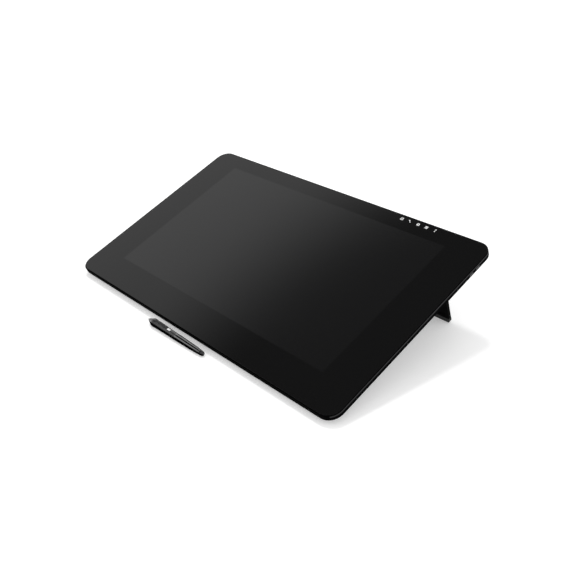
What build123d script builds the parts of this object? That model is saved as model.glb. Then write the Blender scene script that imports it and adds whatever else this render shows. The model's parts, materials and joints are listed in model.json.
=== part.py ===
from build123d import *
import os
from math import atan, atan2, cos, degrees, hypot, radians, sin, sqrt

os.makedirs("parts", exist_ok=True)

# Driving dimensions in millimetres and degrees.
# Frame: origin on the desk under the middle of the whole object, X along the
# tablet's length, Y towards its raised back edge, Z up.

# Tablet slab
tablet_length = 677.0
tablet_depth = 394.0
corner_radius = 24.0
stand_angle = 20.0
rim_height = 9.4
lip_width = 1.6
lip_drop = 0.15
rim_chamfer = 0.8
rim_wall = 7.0

# Glass and display stack, each thickness measured down from the glass top
glass_thick = 2.0
glass_gap = 0.15
window_side_border = 71.0
window_front_border = 58.95
window_back_border = 34.55
window_margin = 3.0
panel_margin = 2.5
sensor_margin = 1.5
gasket_thick = 0.5
plate_thick = 1.5
sensor_thick = 0.4
panel_thick = 1.6
backlight_thick = 3.0
digitizer_thick = 0.8
shield_thick = 0.8
rib_width = 12.0

# Touch keys at the back right corner of the glass
key_count = 5
key_pitch = 17.7
key_from_right = 144.4
key_row_from_back = 10.5
key_board_depth = 8.0

# Rear cover: a body that narrows from the seam to a sloping rear face
seam_inset = 4.0
cover_wall = 2.5
rear_side_inset = 20.5
rear_front_inset = 14.0
rear_back_inset = 34.0
rear_front_depth = 20.2
rear_back_depth = 40.2
rear_corner_radius = 14.0

# Fold-out legs and their wells in the rear cover
leg_width = 99.0
leg_side_inset = 51.0
leg_thick = 6.5
leg_lean = 17.2
leg_corner_radius = 6.5
hinge_from_back = 39.5
hinge_pin_depth = 5.0
hinge_pin_radius = 2.0
barrel_radius = 4.0
running_gap = 0.05
well_gap = 0.5
well_floor_gap = 1.25
well_foot_gap = 2.0
tub_wall = 4.5
pin_seat = 4.0
stop_gap = 0.1
stop_start = 3.0
stop_length = 4.0
leg_panel_margin = 7.0
leg_panel_depth = 0.6
leg_panel_radius = 3.0
pad_length = 11.0
tongue_thick = 2.5
tongue_length = 8.0
finger_width = 26.0
finger_reach = 9.0
finger_depth = 6.0

# Feet
foot_length = 80.0
foot_radius = 4.5
foot_sink = 0.8
foot_seat = 1.0
foot_side_inset = 113.5
front_foot_inset = 6.5
rear_foot_inset = 7.0
rear_foot_length = 60.0
rear_foot_side_inset = 138.5
desk_cut = 0.3

# Port bay in the back of the rear cover
bay_width = 150.0
bay_from_back = 51.0
bay_depth = 20.0
bay_ledge = 3.0
bay_ledge_thick = 2.0
bay_cover_thick = 3.0
bay_cover_gap = 0.4
bay_cover_from_back = 6.0
bay_notch_radius = 9.0
bay_rib_width = 1.6
bay_rib_height = 2.0
port_height = 11.0
port_gap = 0.15
port_board_thick = 1.6
port_board_reach = 30.0
port_board_margin = 6.0
port_post_inset = 4.0
port_flange = 1.5
power_jack_size = 11.0
power_jack_depth = 14.0
power_jack_radius = 2.75
power_pin_radius = 0.9
power_jack_inset = 19.0
socket_wall = 0.5
socket_depth = 12.0
socket_tongue_share = 0.35
usb_width = 9.2
usb_height = 3.4
usb_x = -22.0
displayport_width = 16.2
displayport_height = 5.6
displayport_x = 14.0
hdmi_width = 15.0
hdmi_height = 5.6
hdmi_inset = 25.0

# Ports, button and switch in the rim
side_port_from_back = 46.0
side_port_pitch = 17.0
side_port_depth = 8.5
rim_port_height = 6.6
headphone_from_back = 92.0
headphone_radius = 1.8
headphone_wall = 0.75
headphone_depth = 11.0
button_from_right = 46.0
button_length = 12.0
button_height = 4.0
button_gap = 0.2
button_proud = 0.3
button_flange = 1.2
button_flange_edge = 1.0
button_travel = 0.6
switch_from_right = 74.0
switch_slot_length = 14.0
switch_slot_height = 3.4
switch_knob_length = 6.0
switch_travel = 5.0
switch_knob_proud = 0.6
button_board_thick = 1.6
button_board_length = 56.0
button_board_gap = 0.6
contact_depth = 2.0

# Main board, cooling and its feet
standoff_height = 4.0
standoff_radius = 3.0
standoff_inset = 6.0
board_length = 210.0
board_depth = 130.0
board_thick = 1.6
board_y = -32.0
chip_size = 34.0
chip_thick = 1.5
chip_y = -20.0
memory_size = 14.0
memory_pitch = 20.0
memory_x = 50.0
cold_plate_size = 42.0
cold_plate_thick = 3.0
pipe_width = 8.0
pipe_thick = 3.0
pipe_bend = 14.0
fan_size = 60.0
fan_height = 10.0
fan_wall = 1.2
fan_shift = 5.5
fan_from_back = 69.0
fan_intake_radius = 19.0
fan_bore_radius = 26.0
rotor_gap = 0.5
rotor_hub_radius = 10.0
rotor_ring_width = 1.2
blade_count = 22
blade_length = 9.0
blade_thick = 0.8
fan_pin_radius = 1.5
fin_depth = 12.0
fin_thick = 0.6
fin_pitch = 3.0
fin_count = 19
fin_base = 0.8
ribbon_width = 24.0
ribbon_thick = 0.3
ribbon_x = 80.0
ribbon_reach = 30.0

# Vents
vent_slot_length = 34.0
vent_slot_width = 2.4
vent_pitch = 5.0
vent_count = 9
exhaust_count = 11
exhaust_height = 8.0
exhaust_rise = 7.0

# Stand mount and screws
vesa_pitch = 100.0
vesa_hole_radius = 2.1
vesa_boss_radius = 6.0
vesa_face_y = -10.0
bracket_size = 128.0
bracket_thick = 2.0
bracket_radius = 10.0
bracket_window = 60.0
screw_post_radius = 4.5
screw_hole_radius = 1.65
screw_radius = 1.5
screw_head_radius = 2.8
screw_head_height = 1.8
screw_head_sink = 0.5
screw_tip = 1.0
screw_boss_radius = 4.0
screw_boss_drop = 9.0
screw_side_inset = 31.5
screw_front_inset = 25.0
screw_back_inset = 14.3
screw_side_from_back = 55.0
screw_front_x = 100.0
screw_from_fan = 54.0

# Pen lying in front of the tablet
pen_tip_x = -86.2
pen_turn_angle = 0.64
pen_stand_off = 13.8
nib_out = 2.4
nib_radius = 1.0
nib_length = 24.0
nib_travel = 1.2
nib_gap = 0.1
nose_length = 13.8
nose_front_radius = 1.7
nose_bulge = 0.1
pen_radius = 7.5
grip_length = 49.8
grip_middle_radius = 6.7
grip_end_radius = 6.4
barrel_length = 72.0
barrel_middle_radius = 5.9
barrel_end_radius = 4.85
tail_length = 8.0
tail_end_radius = 4.3
eraser_radius = 4.15
eraser_length = 5.4
eraser_shank_radius = 1.8
eraser_shank_length = 14.0
eraser_gap = 0.2
eraser_travel = 1.0
pen_wall = 1.3
pen_desk_gap = 0.012
pen_spigot = 5.0
switch_from_tip = 22.5
switch_length = 34.0
switch_width = 6.4
switch_raise = 0.8
switch_root = 3.2
switch_gap = 0.4
pen_board_thick = 1.0
pen_board_from_tip = 34.0
pen_board_length = 80.0
coil_radius = 2.4
coil_bore_radius = 1.1
coil_length = 11.0
coil_from_tip = 12.5

# Length by which cutting bodies run past what they cut
overrun = 1.0

# Depths below the glass top
gasket_top = glass_thick
plate_top = gasket_top + gasket_thick
plate_bottom = plate_top + plate_thick
sensor_bottom = glass_thick + sensor_thick
panel_bottom = sensor_bottom + panel_thick
backlight_bottom = panel_bottom + backlight_thick
digitizer_bottom = backlight_bottom + digitizer_thick
shield_bottom = digitizer_bottom + shield_thick
board_top = shield_bottom + standoff_height
board_bottom = board_top + board_thick
chip_bottom = board_bottom + chip_thick
cold_plate_bottom = chip_bottom + cold_plate_thick
pipe_bottom = cold_plate_bottom + pipe_thick

# Display window, legs, feet, fans and screws keep their distance from the sides
half_length = tablet_length / 2
half_depth = tablet_depth / 2
window_length = tablet_length - 2 * window_side_border
window_depth = tablet_depth - window_front_border - window_back_border
window_shift = (window_front_border - window_back_border) / 2
key_middle_x = half_length - key_from_right
leg_edge_x = half_length - leg_side_inset
foot_x = half_length - foot_side_inset
rear_foot_x = half_length - rear_foot_side_inset
power_jack_x = power_jack_inset - bay_width / 2
hdmi_x = bay_width / 2 - hdmi_inset
fan_x = (bay_width / 2 + leg_edge_x - leg_width) / 2 + fan_shift
fan_y = half_depth - fan_from_back
screw_side_y = half_depth - screw_side_from_back
screw_back_x = fan_x + screw_from_fan

# Rear face, in the tablet's own section
rear_run = tablet_depth - rear_front_inset - rear_back_inset
rear_rise = rear_back_depth - rear_front_depth
rear_slope = degrees(atan2(rear_rise, rear_run))
rear_face_depth = hypot(rear_run, rear_rise)
rear_face_width = tablet_length - 2 * rear_side_inset
rear_middle_y = (rear_back_inset - rear_front_inset) / -2
rear_middle_depth = (rear_front_depth + rear_back_depth) / 2


# A plane through a point of another plane, parallel to it
def inside(plane, x, y, height=0):
    return Plane(
        origin=plane.from_local_coords((x, y, height)),
        x_dir=plane.x_dir,
        z_dir=plane.z_dir,
    )


# The rear face's plane for a given glass plane: Y to the back, Z into the body
def rear_plane(glass_plane):
    turn = radians(rear_slope)
    middle = glass_plane.from_local_coords((0, rear_middle_y, -rear_middle_depth))
    inward = glass_plane.y_dir * sin(turn) + glass_plane.z_dir * cos(turn)
    return Plane(origin=middle, x_dir=glass_plane.x_dir, z_dir=inward)


# The slab is first tilted about the world origin, to see how far it must rise
# for the front feet to touch the desk, and how far it reaches to the back.
tilt = radians(stand_angle)
glass_normal = Vector(0, -sin(tilt), cos(tilt))
loose_glass = Plane(origin=(0, 0, 0), x_dir=(1, 0, 0), z_dir=glass_normal)
front_foot_y = front_foot_inset - rear_face_depth / 2
loose_foot = rear_plane(loose_glass).from_local_coords((0, front_foot_y, foot_sink))
glass_height = foot_radius - desk_cut - loose_foot.Z
back_reach = half_depth * cos(tilt) + rim_height * sin(tilt)
pen_reach = half_depth * cos(tilt) + pen_stand_off
pen_turn = radians(pen_turn_angle)
nose_end = nib_out + nose_length
pen_front = pen_reach + pen_radius * cos(pen_turn) - nose_end * sin(pen_turn)
glass_y = (pen_front - back_reach) / 2

glass = Plane(origin=(0, glass_y, glass_height), x_dir=(1, 0, 0), z_dir=glass_normal)
rear = rear_plane(glass)


# Plane at a depth below the glass top, facing out of the glass
def below(depth, x=0, y=0):
    return inside(glass, x, y, -depth)


# Height inside the rear face of a point given by the tablet's y and depth
def rear_local(y, depth):
    return rear.to_local_coords(glass.from_local_coords((0, y, -depth)))


# Cover glass: the whole front
inner_length = tablet_length - 2 * lip_width
inner_depth = tablet_depth - 2 * lip_width
inner_radius = corner_radius - lip_width
glass_length = inner_length - 2 * glass_gap
glass_depth = inner_depth - 2 * glass_gap
glass_radius = inner_radius - glass_gap

with BuildPart() as cover_glass:
    with BuildSketch(below(glass_thick)):
        RectangleRounded(glass_length, glass_depth, glass_radius)
    extrude(amount=glass_thick)
    top_face = cover_glass.faces().filter_by(glass).sort_by(Axis(glass.origin, glass.z_dir))[-1]
    chamfer(top_face.edges(), glass_gap)
cover_glass.part.label = "cover_glass"
export_step(cover_glass.part, "parts/cover_glass.step")

# Adhesive gasket between the glass and the frame, with a pocket for the keys
opening_length = window_length + 2 * window_margin
opening_depth = window_depth + 2 * window_margin
key_row_y = half_depth - key_row_from_back
key_board_length = key_count * key_pitch
with BuildPart() as glass_gasket:
    with BuildSketch(below(plate_top)):
        RectangleRounded(glass_length, glass_depth, glass_radius)
        with Locations((0, window_shift)):
            Rectangle(opening_length, opening_depth, mode=Mode.SUBTRACT)
        with Locations((key_middle_x, key_row_y)):
            Rectangle(key_board_length, key_board_depth, mode=Mode.SUBTRACT)
    extrude(amount=gasket_thick)
glass_gasket.part.label = "glass_gasket"
export_step(glass_gasket.part, "parts/glass_gasket.step")

# Touch-key board, bonded under the glass, with one pad for each key
with BuildPart() as touch_key_board:
    with BuildSketch(below(plate_top, key_middle_x, key_row_y)):
        Rectangle(key_board_length - 2 * port_gap, key_board_depth - 2 * port_gap)
    extrude(amount=gasket_thick)
    with BuildSketch(below(gasket_top, key_middle_x, key_row_y)):
        with GridLocations(key_pitch, key_pitch, key_count, 1):
            Circle(key_board_depth / 4)
    extrude(amount=-sensor_thick / 2, mode=Mode.SUBTRACT)
touch_key_board.part.label = "touch_key_board"
export_step(touch_key_board.part, "parts/touch_key_board.step")

# Display stack: touch sensor, panel, backlight and pen digitizer
sensor_length = window_length + 2 * sensor_margin
sensor_depth = window_depth + 2 * sensor_margin
panel_length = window_length + 2 * panel_margin
panel_depth = window_depth + 2 * panel_margin

with BuildPart() as touch_sensor:
    with BuildSketch(below(sensor_bottom, 0, window_shift)):
        Rectangle(sensor_length, sensor_depth)
    extrude(amount=sensor_thick)
touch_sensor.part.label = "touch_sensor"
export_step(touch_sensor.part, "parts/touch_sensor.step")

with BuildPart() as lcd_panel:
    with BuildSketch(below(panel_bottom, 0, window_shift)):
        Rectangle(panel_length, panel_depth)
    extrude(amount=panel_thick)
lcd_panel.part.label = "lcd_panel"
export_step(lcd_panel.part, "parts/lcd_panel.step")

with BuildPart() as backlight:
    with BuildSketch(below(backlight_bottom, 0, window_shift)):
        Rectangle(panel_length, panel_depth)
    extrude(amount=backlight_thick)
backlight.part.label = "backlight"
export_step(backlight.part, "parts/backlight.step")

with BuildPart() as digitizer_board:
    with BuildSketch(below(digitizer_bottom, 0, window_shift)):
        Rectangle(panel_length, panel_depth)
    extrude(amount=digitizer_thick)
digitizer_board.part.label = "digitizer_board"
export_step(digitizer_board.part, "parts/digitizer_board.step")

# Places of the case screws, all round the display stack
screw_side_x = tablet_length / 2 - screw_side_inset
screw_rows = [
    (screw_side_x, screw_side_y),
    (screw_side_x, -screw_side_y),
    (screw_front_x, screw_front_inset - half_depth),
    (screw_back_x, half_depth - screw_back_inset),
]
screw_places = [(side * x, y) for x, y in screw_rows for side in (-1, 1)]
shield_length = opening_length + 2 * rib_width
shield_depth = opening_depth + 2 * rib_width

# Middle frame: rim, ledge under the glass and rib round the display stack
frame_inner_length = tablet_length - 2 * rim_wall
frame_inner_depth = tablet_depth - 2 * rim_wall
frame_inner_radius = corner_radius - rim_wall
side_port_y = half_depth - side_port_from_back
headphone_y = half_depth - headphone_from_back
button_x = tablet_length / 2 - button_from_right
switch_x = tablet_length / 2 - switch_from_right
rim_cut_x = frame_inner_length / 2 - overrun
rim_cut_y = frame_inner_depth / 2 - overrun
rim_cut = rim_wall + 2 * overrun
rim_middle = below(rim_port_height).origin

with BuildPart() as mid_frame:
    with BuildSketch(below(rim_height)):
        RectangleRounded(tablet_length, tablet_depth, corner_radius)
    extrude(amount=rim_height - lip_drop)
    rim_top = mid_frame.faces().sort_by(Axis(glass.origin, glass.z_dir))[-1]
    chamfer(rim_top.edges(), rim_chamfer)
    # seat of the glass
    with BuildSketch(below(plate_top)):
        RectangleRounded(inner_length, inner_depth, inner_radius)
    extrude(amount=plate_top, mode=Mode.SUBTRACT)
    # hollow behind the plate, leaving the rib and the screw bosses
    with BuildSketch(below(rim_height)):
        RectangleRounded(frame_inner_length, frame_inner_depth, frame_inner_radius)
        with Locations((0, window_shift)):
            Rectangle(shield_length, shield_depth, mode=Mode.SUBTRACT)
    extrude(amount=rim_height - plate_bottom, mode=Mode.SUBTRACT)
    with BuildSketch(below(rim_height, 0, window_shift)):
        Rectangle(shield_length, shield_depth)
    extrude(amount=rim_height - digitizer_bottom, mode=Mode.SUBTRACT)
    with BuildSketch(below(plate_bottom)):
        with Locations(screw_places):
            Circle(screw_boss_radius)
    extrude(amount=-screw_boss_drop)
    with BuildSketch(below(plate_bottom + screw_boss_drop)):
        with Locations(screw_places):
            Circle(screw_radius)
    extrude(amount=screw_boss_drop - plate_thick, mode=Mode.SUBTRACT)
    # window of the display stack
    with BuildSketch(below(digitizer_bottom, 0, window_shift)):
        Rectangle(opening_length, opening_depth)
    extrude(amount=digitizer_bottom, mode=Mode.SUBTRACT)
    # side ports, two on each side, and the headphone socket on the left
    for side in (-1, 1):
        side_wall = Plane(rim_middle, x_dir=glass.y_dir * side, z_dir=(side, 0, 0))
        with BuildSketch(side_wall.offset(rim_cut_x)):
            with Locations(
                (side * side_port_y, 0), (side * (side_port_y - side_port_pitch), 0)
            ):
                RectangleRounded(usb_width, usb_height, usb_height / 2 - port_gap)
        extrude(amount=rim_cut, mode=Mode.SUBTRACT)
    left_wall = Plane(rim_middle, x_dir=glass.y_dir * -1, z_dir=(-1, 0, 0))
    with BuildSketch(left_wall.offset(rim_cut_x)):
        with Locations((-headphone_y, 0)):
            Circle(headphone_radius + headphone_wall)
    extrude(amount=rim_cut, mode=Mode.SUBTRACT)
    # power button and touch switch in the back rim
    back_wall = Plane(rim_middle, x_dir=(-1, 0, 0), z_dir=glass.y_dir)
    with BuildSketch(back_wall.offset(rim_cut_y)):
        with Locations((-button_x, 0)):
            RectangleRounded(
                button_length + 2 * button_gap,
                button_height + 2 * button_gap,
                button_height / 2,
            )
        with Locations((-switch_x, 0)):
            RectangleRounded(
                switch_slot_length, switch_slot_height, switch_slot_height / 2 - port_gap
            )
    extrude(amount=rim_cut, mode=Mode.SUBTRACT)
mid_frame.part.label = "mid_frame"
export_step(mid_frame.part, "parts/mid_frame.step")

# Steel shield over the display stack
with BuildPart() as shield_plate:
    with BuildSketch(below(shield_bottom, 0, window_shift)):
        Rectangle(shield_length - 2 * glass_gap, shield_depth - 2 * glass_gap)
    extrude(amount=shield_thick)
shield_plate.part.label = "shield_plate"
export_step(shield_plate.part, "parts/shield_plate.step")

# Standoffs and main board with its chips
standoff_x = board_length / 2 - standoff_inset
standoff_y = board_depth / 2 - standoff_inset
with BuildPart() as board_standoffs:
    with BuildSketch(below(board_top, 0, board_y)):
        with GridLocations(2 * standoff_x, 2 * standoff_y, 2, 2):
            Circle(standoff_radius)
            Circle(screw_radius, mode=Mode.SUBTRACT)
    extrude(amount=standoff_height)
board_standoffs.part.label = "board_standoffs"
export_step(board_standoffs.part, "parts/board_standoffs.step")

with BuildPart() as main_board:
    with BuildSketch(below(board_bottom, 0, board_y)):
        Rectangle(board_length, board_depth)
        with GridLocations(2 * standoff_x, 2 * standoff_y, 2, 2):
            Circle(screw_radius, mode=Mode.SUBTRACT)
    extrude(amount=board_thick)
    with BuildSketch(below(chip_bottom, 0, chip_y)):
        Rectangle(chip_size, chip_size)
        with Locations((memory_x, 0), (-memory_x, 0)):
            with GridLocations(memory_size, memory_pitch, 1, 2):
                Rectangle(memory_size, memory_size)
    extrude(amount=chip_thick)
main_board.part.label = "main_board"
export_step(main_board.part, "parts/main_board.step")

# Ribbon cables from the digitizer board, flat along the shield, to the board
with BuildPart() as panel_ribbons:
    with BuildSketch(below(board_top, 0, board_y - board_depth / 2)):
        with GridLocations(2 * ribbon_x, ribbon_thick, 2, 1):
            Rectangle(ribbon_width, ribbon_thick)
    extrude(amount=standoff_height)
    with BuildSketch(below(shield_bottom + ribbon_thick, 0, board_y - board_depth / 2)):
        with GridLocations(2 * ribbon_x, ribbon_thick, 2, 1):
            Rectangle(ribbon_width, ribbon_reach, align=(Align.CENTER, Align.MAX))
    extrude(amount=ribbon_thick)
panel_ribbons.part.label = "panel_ribbons"
export_step(panel_ribbons.part, "parts/panel_ribbons.step")

# Cold plate, heat pipes and fin stacks
fin_front_y = fan_y + fan_size / 2
with BuildPart() as cold_plate:
    with BuildSketch(below(cold_plate_bottom, 0, chip_y)):
        RectangleRounded(cold_plate_size, cold_plate_size, pipe_thick)
    extrude(amount=cold_plate_thick)
cold_plate.part.label = "cold_plate"
export_step(cold_plate.part, "parts/cold_plate.step")

pipe_x = fan_x - fan_size / 2 - pipe_width
with BuildPart() as heat_pipes:
    for side in (-1, 1):
        with BuildSketch(below(pipe_bottom)):
            with BuildLine():
                FilletPolyline(
                    (0, chip_y),
                    (side * pipe_x, chip_y),
                    (side * pipe_x, fin_front_y + fin_depth / 2),
                    (side * (fan_x + fan_size / 2), fin_front_y + fin_depth / 2),
                    radius=pipe_bend,
                )
            trace(line_width=pipe_width)
    extrude(amount=pipe_thick)
heat_pipes.part.label = "heat_pipes"
export_step(heat_pipes.part, "parts/heat_pipes.step")

for name, side in (("left", -1), ("right", 1)):
    with BuildPart() as heat_fins:
        with BuildSketch(below(cold_plate_bottom, side * fan_x, fin_front_y)):
            Rectangle(fan_size, fin_depth, align=(Align.CENTER, Align.MIN))
        extrude(amount=fin_base)
        with BuildSketch(below(cold_plate_bottom, side * fan_x, fin_front_y)):
            with GridLocations(fin_pitch, fin_depth, fin_count, 1):
                Rectangle(fin_thick, fin_depth, align=(Align.CENTER, Align.MIN))
        extrude(amount=cold_plate_bottom - shield_bottom)
    heat_fins.part.label = f"heat_fins_{name}"
    export_step(heat_fins.part, f"parts/heat_fins_{name}.step")

# Blowers: housing screwed to the shield, rotor on a short steel pin
rotor_height = fan_height - 2 * fan_wall - 2 * rotor_gap
for name, side in (("left", -1), ("right", 1)):
    with BuildPart() as fan_housing:
        with BuildSketch(below(shield_bottom + fan_height, side * fan_x, fan_y)):
            RectangleRounded(fan_size, fan_size, rotor_hub_radius / 4)
        extrude(amount=fan_height)
        with BuildSketch(below(shield_bottom + fan_height - fan_wall, side * fan_x, fan_y)):
            Circle(fan_bore_radius)
            Rectangle(
                2 * fan_bore_radius, fan_size, align=(Align.CENTER, Align.MIN)
            )
        extrude(amount=fan_height - 2 * fan_wall, mode=Mode.SUBTRACT)
        with BuildSketch(below(shield_bottom + fan_height, side * fan_x, fan_y)):
            Circle(fan_intake_radius)
        extrude(amount=fan_wall, mode=Mode.SUBTRACT)
        with BuildSketch(below(shield_bottom + fan_wall, side * fan_x, fan_y)):
            Circle(fan_pin_radius)
        extrude(amount=-rotor_height)
    fan_housing.part.label = f"fan_housing_{name}"
    export_step(fan_housing.part, f"parts/fan_housing_{name}.step")

    with BuildPart() as fan_rotor:
        rotor_top = shield_bottom + fan_wall + rotor_gap
        with BuildSketch(below(rotor_top, side * fan_x, fan_y)):
            Circle(rotor_hub_radius)
            with PolarLocations(rotor_hub_radius + blade_length / 2, blade_count):
                Rectangle(blade_length + rotor_ring_width, blade_thick)
        extrude(amount=-rotor_height)
        with BuildSketch(below(rotor_top, side * fan_x, fan_y)):
            Circle(rotor_hub_radius + blade_length + rotor_ring_width)
            Circle(rotor_hub_radius + blade_length, mode=Mode.SUBTRACT)
        extrude(amount=-rotor_ring_width)
        with BuildSketch(below(rotor_top, side * fan_x, fan_y)):
            Circle(fan_pin_radius + running_gap)
        extrude(amount=-rotor_height, mode=Mode.SUBTRACT)
    fan_rotor.part.label = f"fan_rotor_{name}"
    export_step(fan_rotor.part, f"parts/fan_rotor_{name}.step")

# Hinge line, leg plane and folding angle.
# The leg runs down and back from the hinge pin to the desk.
hinge_y = rear_face_depth / 2 - hinge_from_back
lean = radians(leg_lean)
leg_normal = Vector(0, cos(lean), sin(lean))
leg_x = leg_edge_x - leg_width / 2
hinge_point = rear.from_local_coords((0, hinge_y, hinge_pin_depth))
leg_reach = (hinge_point.Z - leg_thick / 2 + desk_cut) / cos(lean)
leg_swing = 90 - (stand_angle - rear_slope) + leg_lean
well_length = leg_reach + leg_thick / 2 + well_foot_gap
well_depth = hinge_pin_depth + leg_thick / 2 + well_floor_gap
well_back = barrel_radius + well_gap
well_width = leg_width + 2 * well_gap
well_middle_y = hinge_y + (well_back - well_length) / 2
pin_length = well_width + 2 * pin_seat
swing = radians(leg_swing)
# height of the leg's land at its start, where the well's back wall is nearest
wall_reach = (stop_start + well_back * cos(swing)) * cos(swing) / sin(swing)
stop_height = well_back * sin(swing) + wall_reach - stop_gap

# Places in the rear face's plane
bay_y = rear_face_depth / 2 - bay_from_back
rear_foot_y = rear_face_depth / 2 - rear_foot_inset
vesa_y = vesa_face_y - rear_middle_y
bay_run = bay_from_back + tablet_depth / 4
port_board_y = bay_y - cover_wall
port_board_width = bay_width - 2 * port_board_margin
port_board_height = port_height + power_jack_size / 2
port_post_x = port_board_width / 2 - port_post_inset

# Hollow of the rear cover: a smaller body than the outside, less the walls
# of the leg wells and the port bay, the posts and the bosses
seam_length = tablet_length - 2 * seam_inset
seam_depth = tablet_depth - 2 * seam_inset
seam_radius = corner_radius - seam_inset
deep = rear_back_depth


with BuildPart() as cavity:
    with BuildSketch(below(rim_height)):
        RectangleRounded(
            seam_length - 2 * cover_wall, seam_depth - 2 * cover_wall, seam_radius - cover_wall
        )
    with BuildSketch(rear.offset(cover_wall)):
        RectangleRounded(
            rear_face_width - 2 * cover_wall,
            rear_face_depth - 2 * cover_wall,
            rear_corner_radius - cover_wall,
        )
    loft(ruled=True)
    # walls of the leg wells
    with BuildSketch(rear):
        with Locations((leg_x, well_middle_y), (-leg_x, well_middle_y)):
            Rectangle(
                well_width + 2 * tub_wall, well_length + well_back + 2 * tub_wall
            )
    extrude(amount=well_depth + cover_wall, mode=Mode.SUBTRACT)
    # walls of the port bay
    with BuildSketch(rear):
        with Locations((0, bay_y - cover_wall)):
            Rectangle(
                bay_width + 2 * cover_wall, bay_run, align=(Align.CENTER, Align.MIN)
            )
    extrude(amount=bay_depth + cover_wall, mode=Mode.SUBTRACT)
    # screw posts and bracket bosses
    with BuildSketch(below(plate_bottom + screw_boss_drop)):
        with Locations(screw_places):
            Circle(screw_post_radius)
    extrude(amount=-deep, mode=Mode.SUBTRACT)
    # posts under the port board
    with BuildSketch(rear):
        with Locations((0, port_board_y - port_board_reach / 2)):
            with GridLocations(2 * port_post_x, port_board_reach, 2, 1):
                Circle(standoff_radius)
    extrude(amount=port_board_height, mode=Mode.SUBTRACT)

# Rear cover
with BuildPart() as rear_cover:
    with BuildSketch(below(rim_height)):
        RectangleRounded(seam_length, seam_depth, seam_radius)
    with BuildSketch(rear):
        RectangleRounded(rear_face_width, rear_face_depth, rear_corner_radius)
    loft(ruled=True)
    add(cavity.part, mode=Mode.SUBTRACT)
    # leg wells with their finger notches
    with BuildSketch(rear.offset(-overrun)):
        with Locations((leg_x, well_middle_y), (-leg_x, well_middle_y)):
            Rectangle(well_width, well_length + well_back)
    extrude(amount=well_depth + overrun, mode=Mode.SUBTRACT)
    with BuildSketch(rear.offset(-overrun)):
        notch_y = hinge_y - well_length
        with Locations((leg_x, notch_y), (-leg_x, notch_y)):
            Rectangle(finger_width, 2 * finger_reach)
    extrude(amount=finger_depth + overrun, mode=Mode.SUBTRACT)
    # holes of the leg pins
    with BuildSketch(
        Plane(hinge_point, x_dir=rear.y_dir, z_dir=(1, 0, 0)).offset(-leg_x - pin_length / 2)
    ):
        Circle(hinge_pin_radius)
    extrude(amount=pin_length, mode=Mode.SUBTRACT)
    with BuildSketch(
        Plane(hinge_point, x_dir=rear.y_dir, z_dir=(1, 0, 0)).offset(leg_x - pin_length / 2)
    ):
        Circle(hinge_pin_radius)
    extrude(amount=pin_length, mode=Mode.SUBTRACT)
    # port bay, open through the back, with a ledge down each side
    with BuildSketch(rear.offset(bay_cover_thick + bay_ledge_thick)):
        with Locations((0, bay_y)):
            Rectangle(bay_width, bay_run, align=(Align.CENTER, Align.MIN))
    extrude(amount=bay_depth - bay_cover_thick - bay_ledge_thick, mode=Mode.SUBTRACT)
    with BuildSketch(rear.offset(-overrun)):
        with Locations((0, bay_y)):
            Rectangle(bay_width, bay_run, align=(Align.CENTER, Align.MIN))
    extrude(amount=bay_cover_thick + overrun, mode=Mode.SUBTRACT)
    with BuildSketch(rear.offset(bay_cover_thick)):
        with Locations((0, bay_y)):
            Rectangle(
                bay_width - 2 * bay_ledge, bay_run, align=(Align.CENTER, Align.MIN)
            )
    extrude(amount=bay_ledge_thick, mode=Mode.SUBTRACT)
    # openings of the rear ports in the bay's front wall
    port_wall = Plane(
        rear.from_local_coords((0, bay_y, port_height)), x_dir=(-1, 0, 0), z_dir=rear.y_dir
    )
    with BuildSketch(port_wall):
        with Locations((-power_jack_x, 0)):
            Rectangle(power_jack_size, power_jack_size)
        with Locations((-usb_x, 0)):
            Rectangle(usb_width, usb_height)
        with Locations((-displayport_x, 0)):
            Rectangle(displayport_width, displayport_height)
        with Locations((-hdmi_x, 0)):
            Rectangle(hdmi_width, hdmi_height)
    extrude(amount=-cover_wall, mode=Mode.SUBTRACT)
    # seats of the feet
    with BuildSketch(rear):
        with Locations((-foot_x, front_foot_y), (foot_x, front_foot_y)):
            Rectangle(foot_length, 2 * foot_radius)
        with Locations((-rear_foot_x, rear_foot_y), (rear_foot_x, rear_foot_y)):
            Rectangle(rear_foot_length, 2 * foot_radius)
    extrude(amount=foot_seat, mode=Mode.SUBTRACT)
    # intake vents under the blowers and exhaust slots in the back slope
    fan_place = rear_local(fan_y, rear_middle_depth)
    with BuildSketch(rear.offset(-overrun)):
        with Locations((-fan_x, fan_place.Y), (fan_x, fan_place.Y)):
            with GridLocations(vent_pitch, vent_slot_length, vent_count, 1):
                SlotOverall(vent_slot_length, vent_slot_width, rotation=90)
    extrude(amount=cover_wall + 2 * overrun, mode=Mode.SUBTRACT)
    with BuildSketch(
        Plane(
            below(rim_height + exhaust_rise).origin, x_dir=(-1, 0, 0), z_dir=glass.y_dir
        ).offset(half_depth - rear_back_inset)
    ):
        with Locations((-fan_x, 0), (fan_x, 0)):
            with GridLocations(vent_pitch, vent_slot_length, exhaust_count, 1):
                SlotOverall(exhaust_height, vent_slot_width, rotation=90)
    extrude(amount=rear_back_inset, mode=Mode.SUBTRACT)
    # screw holes with counterbores from outside
    with BuildSketch(below(plate_bottom + screw_boss_drop)):
        with Locations(screw_places):
            Circle(screw_hole_radius)
    extrude(amount=-deep, mode=Mode.SUBTRACT)
    with BuildSketch(below(plate_bottom + screw_boss_drop + cover_wall)):
        with Locations(screw_places):
            Circle(screw_head_radius + glass_gap)
    extrude(amount=-deep, mode=Mode.SUBTRACT)
    # holes of the stand mount
    with BuildSketch(rear.offset(-overrun)):
        with Locations((0, vesa_y)):
            with GridLocations(vesa_pitch, vesa_pitch, 2, 2):
                Circle(vesa_boss_radius)
    extrude(amount=cover_wall + overrun, mode=Mode.SUBTRACT)
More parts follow.
